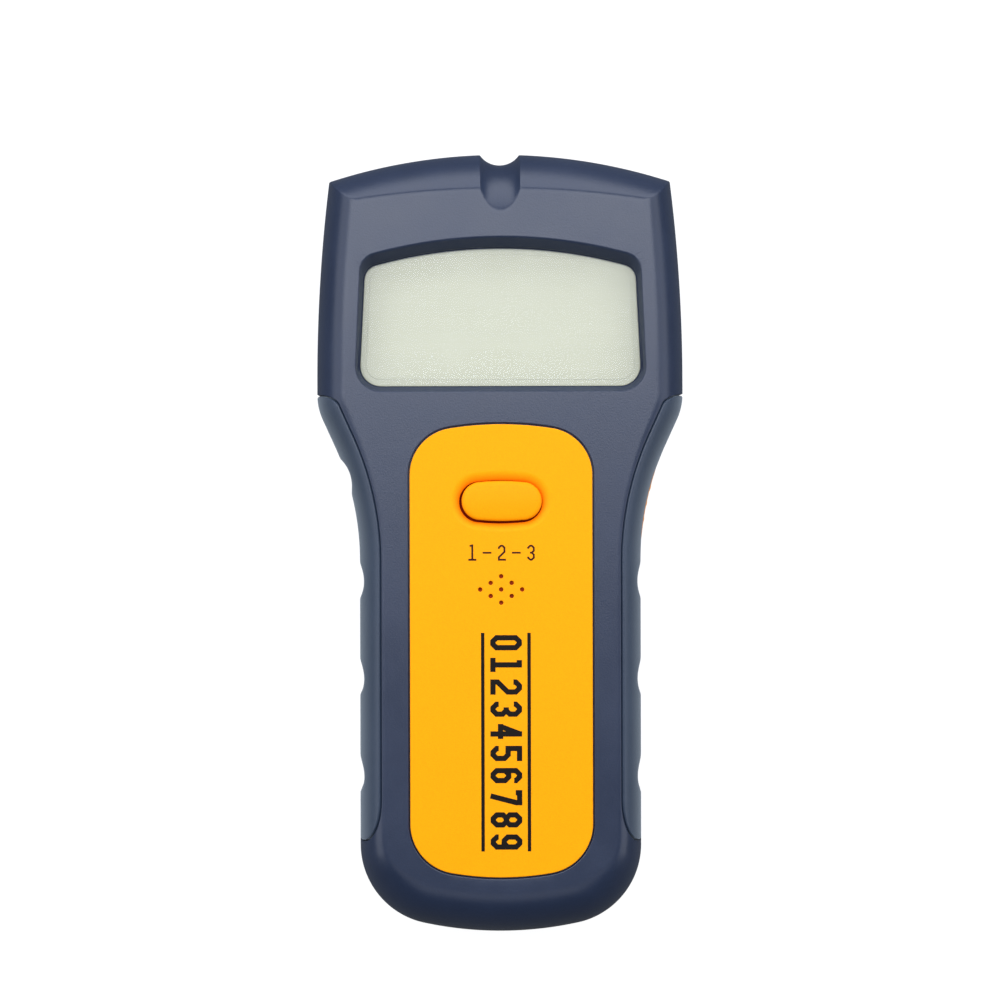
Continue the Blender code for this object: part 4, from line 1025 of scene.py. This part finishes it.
def link(tree, a, b):
    tree.links.new(a, b)


def noise(tree, scale, detail=2.0, rough=0.5, stretch=None):
    source = tree.nodes.new("ShaderNodeTexCoord").outputs["Object"]
    if stretch:
        place = tree.nodes.new("ShaderNodeMapping")
        place.inputs["Scale"].default_value = stretch
        link(tree, source, place.inputs["Vector"])
        source = place.outputs["Vector"]
    made = tree.nodes.new("ShaderNodeTexNoise")
    made.inputs["Scale"].default_value = scale
    made.inputs["Detail"].default_value = detail
    made.inputs["Roughness"].default_value = rough
    link(tree, source, made.inputs["Vector"])
    return made


def ramp(tree, source, stops):
    made = tree.nodes.new("ShaderNodeValToRGB")
    marks = made.color_ramp.elements
    for mark, (place, colour) in zip(marks, (stops[0], stops[-1])):
        mark.position = place
        mark.color = (*colour, 1)
    for place, colour in stops[1:-1]:
        marks.new(place).color = (*colour, 1)
    link(tree, source, made.inputs["Fac"])
    return made


def multiplied(tree, a, b):
    mix = tree.nodes.new("ShaderNodeMix")
    mix.data_type = "RGBA"
    mix.blend_type = "MULTIPLY"
    mix.inputs["Factor"].default_value = 1.0
    link(tree, a, mix.inputs[6])
    link(tree, b, mix.inputs[7])
    return mix.outputs[2]


def spreadRoughness(tree, shader, source, low, high):
    spread = ramp(tree, source.outputs["Fac"], [(0.2, (low,) * 3), (0.8, (high,) * 3)])
    link(tree, spread.outputs["Color"], shader.inputs["Roughness"])


def addBump(tree, shader, source, strength, distance):
    bump = tree.nodes.new("ShaderNodeBump")
    bump.inputs["Strength"].default_value = strength
    bump.inputs["Distance"].default_value = distance * milli
    link(tree, source.outputs["Fac"], bump.inputs["Height"])
    link(tree, bump.outputs["Normal"], shader.inputs["Normal"])


def shadeByHeight(tree, colour, stops):
    # painted shade: multiplies a colour by one that changes with height: (height in mm, colour) from low to
    # high
    coords = tree.nodes.new("ShaderNodeTexCoord")
    split = tree.nodes.new("ShaderNodeSeparateXYZ")
    span = tree.nodes.new("ShaderNodeMapRange")
    low, high = stops[0][0], stops[-1][0]
    span.inputs["From Min"].default_value = low * milli
    span.inputs["From Max"].default_value = high * milli
    link(tree, coords.outputs["Object"], split.inputs[0])
    link(tree, split.outputs["Z"], span.inputs["Value"])
    tint = ramp(tree, span.outputs["Result"], [((z - low) / (high - low), c) for z, c in stops])
    return multiplied(tree, colour, tint.outputs["Color"])


def mouldedPlastic(name, colour, rough, grain, depth, mottle=0.06, specular=0.5, deep=None, sheen=0.0):
    # moulded plastic: fine spark-eroded grain in the bump, faint flow clouding in the colour
    made, tree, shader = shaderOf(name)
    cloud = noise(tree, 90.0, 3.0, 0.6)
    low = [c * (1 - mottle) for c in colour]
    high = [c * (1 + mottle) for c in colour]
    base = ramp(tree, cloud.outputs["Fac"], [(0.3, low), (0.7, high)])
    speck = noise(tree, 1.0 / (grain * milli), 2.0, 0.6)
    tone = ramp(tree, speck.outputs["Fac"], [(0.3, (0.93,) * 3), (0.7, (1.07,) * 3)])
    final = multiplied(tree, base.outputs["Color"], tone.outputs["Color"])
    # painted shade: where deep is given, the colour is darkened with height to stand in for shade in dishes
    # and gaps
    if deep:
        final = shadeByHeight(tree, final, deep)
    link(tree, final, shader.inputs["Base Color"])
    spreadRoughness(tree, shader, cloud, rough - 0.04, rough + 0.04)
    addBump(tree, shader, speck, depth, 0.15 * grain)
    shader.inputs["Specular IOR Level"].default_value = specular
    shader.inputs["Sheen Weight"].default_value = sheen
    shader.inputs["Sheen Roughness"].default_value = 0.42
    shader.inputs["Sheen Tint"].default_value = (0.8, 0.92, 1.0, 1)
    return made


def shadeWindow(made):
    # darker and duller on the bevel round the display: inside a box about it and below the face
    tree = made.node_tree
    shader = tree.nodes["Principled BSDF"]
    coords = tree.nodes.new("ShaderNodeTexCoord")
    split = tree.nodes.new("ShaderNodeSeparateXYZ")
    link(tree, coords.outputs["Object"], split.inputs[0])

    def within(source, inside, outside):
        # 1 at the inside value, 0 at the outside one, eased between them
        made = tree.nodes.new("ShaderNodeMapRange")
        made.interpolation_type = "SMOOTHSTEP"
        made.inputs["From Min"].default_value = outside * milli
        made.inputs["From Max"].default_value = inside * milli
        link(tree, source, made.inputs["Value"])
        return made.outputs["Result"]

    def times(a, b):
        made = tree.nodes.new("ShaderNodeMath")
        made.operation = "MULTIPLY"
        link(tree, a, made.inputs[0])
        link(tree, b, made.inputs[1])
        return made.outputs[0]

    x, y, z = (split.outputs[k] for k in "XYZ")
    across = times(within(x, 28.8, 29.2), within(x, -28.8, -29.2))
    mask = times(across, times(within(y, 29.2, 28.8), within(y, 60.4, 60.8)))
    mask = times(mask, within(z, 27.6, 27.98))
    for socket, value in (("Roughness", (0.75,) * 3), ("Base Color", (0.011, 0.020, 0.046))):
        mix = tree.nodes.new("ShaderNodeMix")
        mix.data_type = "RGBA"
        link(tree, mask, mix.inputs["Factor"])
        link(tree, shader.inputs[socket].links[0].from_socket, mix.inputs[6])
        mix.inputs[7].default_value = (*value, 1)
        link(tree, mix.outputs[2], shader.inputs[socket])


def clearPlastic(name):
    made, tree, shader = shaderOf(name)
    shader.inputs["Base Color"].default_value = (0.9, 0.95, 0.9, 1)
    shader.inputs["Alpha"].default_value = 0.1
    spreadRoughness(tree, shader, noise(tree, 160.0), 0.03, 0.08)
    shader.inputs["Specular IOR Level"].default_value = 0.35
    made.surface_render_method = "BLENDED"
    return made


def displayGlass(name):
    # reflective polariser: pale grey-green with very fine brushed streaks and faint clouding
    made, tree, shader = shaderOf(name)
    streak = noise(tree, 500.0, stretch=(0.12, 6.0, 1.0))
    base = ramp(tree, streak.outputs["Fac"], [(0.3, (0.374, 0.368, 0.227)), (0.7, (0.400, 0.389, 0.244))])
    link(tree, base.outputs["Color"], shader.inputs["Base Color"])
    spreadRoughness(tree, shader, noise(tree, 120.0), 0.3, 0.42)
    return made


def metal(name, colour, rough, stretch=(1, 1, 1)):
    made, tree, shader = shaderOf(name)
    grain = noise(tree, 1500.0, stretch=stretch)
    low, high = [c * 0.88 for c in colour], [min(1, c * 1.08) for c in colour]
    base = ramp(tree, grain.outputs["Fac"], [(0.2, low), (0.8, high)])
    link(tree, base.outputs["Color"], shader.inputs["Base Color"])
    spreadRoughness(tree, shader, grain, rough - 0.07, rough + 0.07)
    shader.inputs["Metallic"].default_value = 1.0
    return made


def felt(name, colour):
    made, tree, shader = shaderOf(name)
    fibre = noise(tree, 5200.0, 4.0, 0.7)
    low, high = [c * 0.5 for c in colour], [c * 1.9 for c in colour]
    base = ramp(tree, fibre.outputs["Fac"], [(0.25, low), (0.75, high)])
    link(tree, base.outputs["Color"], shader.inputs["Base Color"])
    shader.inputs["Roughness"].default_value = 0.95
    shader.inputs["Sheen Weight"].default_value = 0.4
    addBump(tree, shader, fibre, 0.7, 0.08)
    return made


def circuitBoard(name):
    # green mask over a faint grid of tracks
    made, tree, shader = shaderOf(name)
    coords = tree.nodes.new("ShaderNodeTexCoord")
    brick = tree.nodes.new("ShaderNodeTexBrick")
    brick.inputs["Scale"].default_value = 260.0
    brick.inputs["Color1"].default_value = (0.018, 0.13, 0.045, 1)
    brick.inputs["Color2"].default_value = (0.024, 0.16, 0.06, 1)
    brick.inputs["Mortar"].default_value = (0.05, 0.24, 0.09, 1)
    brick.inputs["Mortar Size"].default_value = 0.03
    link(tree, coords.outputs["Object"], brick.inputs["Vector"])
    link(tree, brick.outputs["Color"], shader.inputs["Base Color"])
    shader.inputs["Roughness"].default_value = 0.35
    return made


# painted shade by height: the dish goes from yellow at its rim through orange to red in the gap, darker where
# it lies deeper
plateDishShade = ((27.1, (0.6, 0.07, 0.05)), (27.28, (0.6, 0.2, 0.1)), (27.36, (1, 0.52, 0.3)),
             (27.7, (1, 0.75, 0.6)), (28.08, (1, 1, 1)))
# painted shade: the button's side darkens through orange to red down into the gap below its cap
buttonGapShade = ((27.2, (0.6, 0.08, 0.05)), (27.7, (0.9, 0.4, 0.3)), (28.0, (1, 0.85, 0.7)), (28.3, (1, 1, 1)))
shellNavy = mouldedPlastic("shellNavy", (0.0120, 0.0205, 0.0455), 0.34, 0.33, 0.5, sheen=0.03)
shadeWindow(shellNavy)
gripNavy = mouldedPlastic("gripNavy", (0.0160, 0.0290, 0.0540), 0.42, 0.33, 0.6, sheen=0.28)
plateYellow = mouldedPlastic("plateYellow", (0.87, 0.325, 0.0012), 0.5, 0.22, 0.2, 0.01, 0.07, plateDishShade)
buttonYellow = mouldedPlastic("buttonYellow", (0.87, 0.305, 0.001), 0.45, 0.25, 0.2, 0.01, 0.06, buttonGapShade)
scanOrange = mouldedPlastic("scanOrange", (0.82, 0.29, 0.012), 0.42, 0.2, 0.25, 0.03)
screenRed = mouldedPlastic("screenRed", (0.42, 0.06, 0.006), 0.7, 0.15, 0.6, 0.2, 0.2)
printBlack = mouldedPlastic("printBlack", (0.0065, 0.0048, 0.0036), 0.55, 0.12, 0.2, 0.2, 0.1)
printBrown = mouldedPlastic("printBrown", (0.036, 0.007, 0.003), 0.55, 0.12, 0.2, 0.2, 0.1)
blackPlastic = mouldedPlastic("blackPlastic", (0.02, 0.02, 0.022), 0.45, 0.2, 0.3)
whitePlastic = mouldedPlastic("whitePlastic", (0.78, 0.74, 0.64), 0.45, 0.2, 0.2, 0.02)
lensClear = clearPlastic("lensClear")
lcdGreen = displayGlass("lcdGreen")
boardGreen = circuitBoard("boardGreen")
platedSteel = metal("platedSteel", (0.62, 0.62, 0.64), 0.3)
bareCopper = metal("bareCopper", (0.72, 0.33, 0.16), 0.35, (1, 8, 1))
darkFerrite = mouldedPlastic("darkFerrite", (0.05, 0.05, 0.055), 0.6, 0.3, 0.5, 0.15)
softFoam = mouldedPlastic("softFoam", (0.09, 0.09, 0.1), 0.95, 0.5, 1.0, 0.2)
padFelt = felt("padFelt", (0.03, 0.03, 0.034))
batterySleeve = metal("batterySleeve", (0.03, 0.09, 0.24), 0.32, (1, 1, 6))
leadRed = mouldedPlastic("leadRed", (0.5, 0.02, 0.012), 0.4, 0.3, 0.2, 0.05)
leadBlack = mouldedPlastic("leadBlack", (0.02, 0.02, 0.022), 0.4, 0.3, 0.2, 0.1)
print("finishes")


def stand(obj, finish, rides, slotName, *replaced):
    obj.data.materials.clear()
    obj.data.materials.append(finish)
    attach(obj, rides)
    if replaced:
        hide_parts(*replaced)
    return obj


notch = dict(out=0.6, half=0.75, depths=((3.0, -0.3), (7.0, 0.95), (21.0, 0.95), (25.0, -0.3)))


def seamNotch(sign, y):
    # upright V groove where a grip's seam crosses the flank, shallower towards its two ends
    x = float(sideAt(sideSFromY(y))[0])
    rings = []
    for z, deep in notch["depths"]:
        ends = [(x + notch["out"], y + half) for half in (notch["half"], -notch["half"])]
        ring = np.array([(x - deep, y), *ends]) * [sign, 1]
        rings.append(atHeight(ring, z))
    return stackTool(rings)


for sign, gripPiece in ((-1, leftGrip), (1, rightGrip)):
    for piece in (frontShell, rearShell, gripPiece):
        cutBy(piece, seamNotch(sign, grip["topY"] + joint / 2))
rightGrip = cutBy(rightGrip, scanTool(-4.0, 8.0, joint))
frontShell = cutBy(frontShell, scanTool(-4.0, 8.0, joint))
for piece in (leftGrip, rightGrip, frontShell):
    piece.data.set_sharp_from_angle(angle=math.radians(50))
evenNormals(frontShell)
cutRearShell(rearShell)
print("cuts")
stand(frontShell, shellNavy, "casing", "navy_shell", "front_shell")
stand(rearShell, shellNavy, "casing", "navy_shell", "rear_shell")
stand(leftGrip, gripNavy, "casing", "navy_grip", "left_grip")
stand(rightGrip, gripNavy, "casing", "navy_grip", "right_grip")
platePiece = makeFacePlate()
evenNormals(platePiece)
stand(platePiece, plateYellow, "casing", "yellow_plastic", "face_plate")
stand(makeSelectButton(), buttonYellow, "select_button", "yellow_plastic", "select_button")
stand(makeScanButton(), scanOrange, "scan_button", "orange_plastic", "scan_button")
stand(makeDisplayWindow(), lensClear, "casing", "clear_lens", "display_window")
stand(makeLcdPanel(), lcdGreen, "casing", "display_glass", "lcd_panel")
stand(makeBatteryDoor(), shellNavy, "battery_door", "navy_shell", "battery_door")
stand(makePrintedScale(), printBlack, "casing", "black_plastic")
stand(makePrintedModes(), printBrown, "casing", "black_plastic")
stand(makeSoundScreen(), screenRed, "casing", "black_plastic")
index = 0
for px, py, halfX, halfY in rear["pads"]:
    for sign in (1, -1):
        index += 1
        stand(makePad(index, sign * px, py, halfX, halfY), padFelt, "casing", "felt", f"wall_pad_{index}")
print("pieces")

finishOf = dict(
    case_screw=platedSteel, board_screw=platedSteel, capacitor=platedSteel, header_pin=platedSteel,
    battery_plus=platedSteel, battery_minus=platedSteel, battery_snap=blackPlastic, battery_foam=softFoam,
    battery=batterySleeve, header_block=blackPlastic, buzzer=blackPlastic, controller_chip=blackPlastic,
    coil_bobbin=blackPlastic, select_switch=blackPlastic, scan_switch=blackPlastic, sensor_plate=bareCopper,
    coil_winding=bareCopper, coil_core=darkFerrite, zebra_strip=softFoam, main_board=boardGreen,
    sensor_board=boardGreen, lead_red=leadRed, lead_black=leadBlack,
)
for name, node in nodes.items():
    key = name.rstrip("0123456789").rstrip("_")
    if node.type != "MESH":
        continue
    node.data.materials.clear()
    node.data.materials.append(finishOf.get(key, whitePlastic))


studio = dict(
    world=0.08, cameraX=-0.0063, cameraY=0.0085, cameraZ=0.465, roll=-0.13, lens=81, frameWidth=0.2004,
    floorGlow=0.93, floorHalf=9000.0, aim=(0.0, 0.0, 0.02),
    lights=(
        ("key", (-0.02, 0.20, 0.64), 0.95, 0.36, 5.2),
        ("left", (-0.5, 0.05, 0.24), 0.8, 0.5, 1.95),
        ("right", (0.5, 0.05, 0.24), 0.8, 0.5, 1.85),
        ("back", (0.0, 0.52, 0.17), 0.9, 0.4, 3.0),
        ("front", (0.0, -0.36, 0.56), 0.5, 0.25, 0.4),
    ),
    tint=(0.94, 0.98, 1.08),
)

bpy.context.scene.view_settings.view_transform = "Standard"
world = bpy.data.worlds.new("studio")
bpy.context.scene.world = world
world.use_nodes = True
tree = world.node_tree
# seen directly, the wall behind is as pale as the floor; what lights the object is the dim world
dim = tree.nodes["Background"]
pale = tree.nodes.new("ShaderNodeBackground")
for sky in (dim, pale):
    sky.inputs["Color"].default_value = (1, 1, 1, 1)
dim.inputs["Strength"].default_value = studio["world"]
path = tree.nodes.new("ShaderNodeLightPath")
blend = tree.nodes.new("ShaderNodeMixShader")
link(tree, path.outputs["Is Camera Ray"], blend.inputs["Fac"])
link(tree, dim.outputs[0], blend.inputs[1])
link(tree, pale.outputs[0], blend.inputs[2])
link(tree, blend.outputs[0], tree.nodes["World Output"].inputs["Surface"])
camera = bpy.data.cameras.new("camera")
camera.lens = studio["lens"]
camera.shift_x = -studio["cameraX"] / studio["frameWidth"]  # keeps the object centred in the frame
camera.clip_start = 0.01
cameraObject = bpy.data.objects.new("camera", camera)
cameraObject.location = (studio["cameraX"], studio["cameraY"], studio["cameraZ"])
cameraObject.rotation_euler = (0, 0, math.radians(studio["roll"]))
bpy.context.scene.collection.objects.link(cameraObject)
bpy.context.scene.camera = cameraObject

for name, place, wide, deep, power in studio["lights"]:
    light = bpy.data.lights.new(name, "AREA")
    light.shape = "RECTANGLE"
    light.energy = power
    light.color = studio["tint"]
    light.size = wide
    light.size_y = deep
    panel = bpy.data.objects.new(name, light)
    panel.location = place
    panel.rotation_euler = (Vector(studio["aim"]) - Vector(place)).to_track_quat("-Z", "Y").to_euler()
    bpy.context.scene.collection.objects.link(panel)

sheet = Pile()
ends = (-studio["floorHalf"], studio["floorHalf"])
sheet.grid(np.array([[(x, y, 0.0) for x in ends] for y in ends]), loop=False)
floor = sheet.make("floor")
paper = mouldedPlastic("floorPaper", (0.12, 0.12, 0.12), 0.9, 0.5, 0.1, 0.01)
glow = paper.node_tree.nodes["Principled BSDF"]
glow.inputs["Emission Color"].default_value = (1, 1, 1, 1)
glow.inputs["Emission Strength"].default_value = studio["floorGlow"]
floor.data.materials.append(paper)
floor.visible_glossy = False
print("studio")
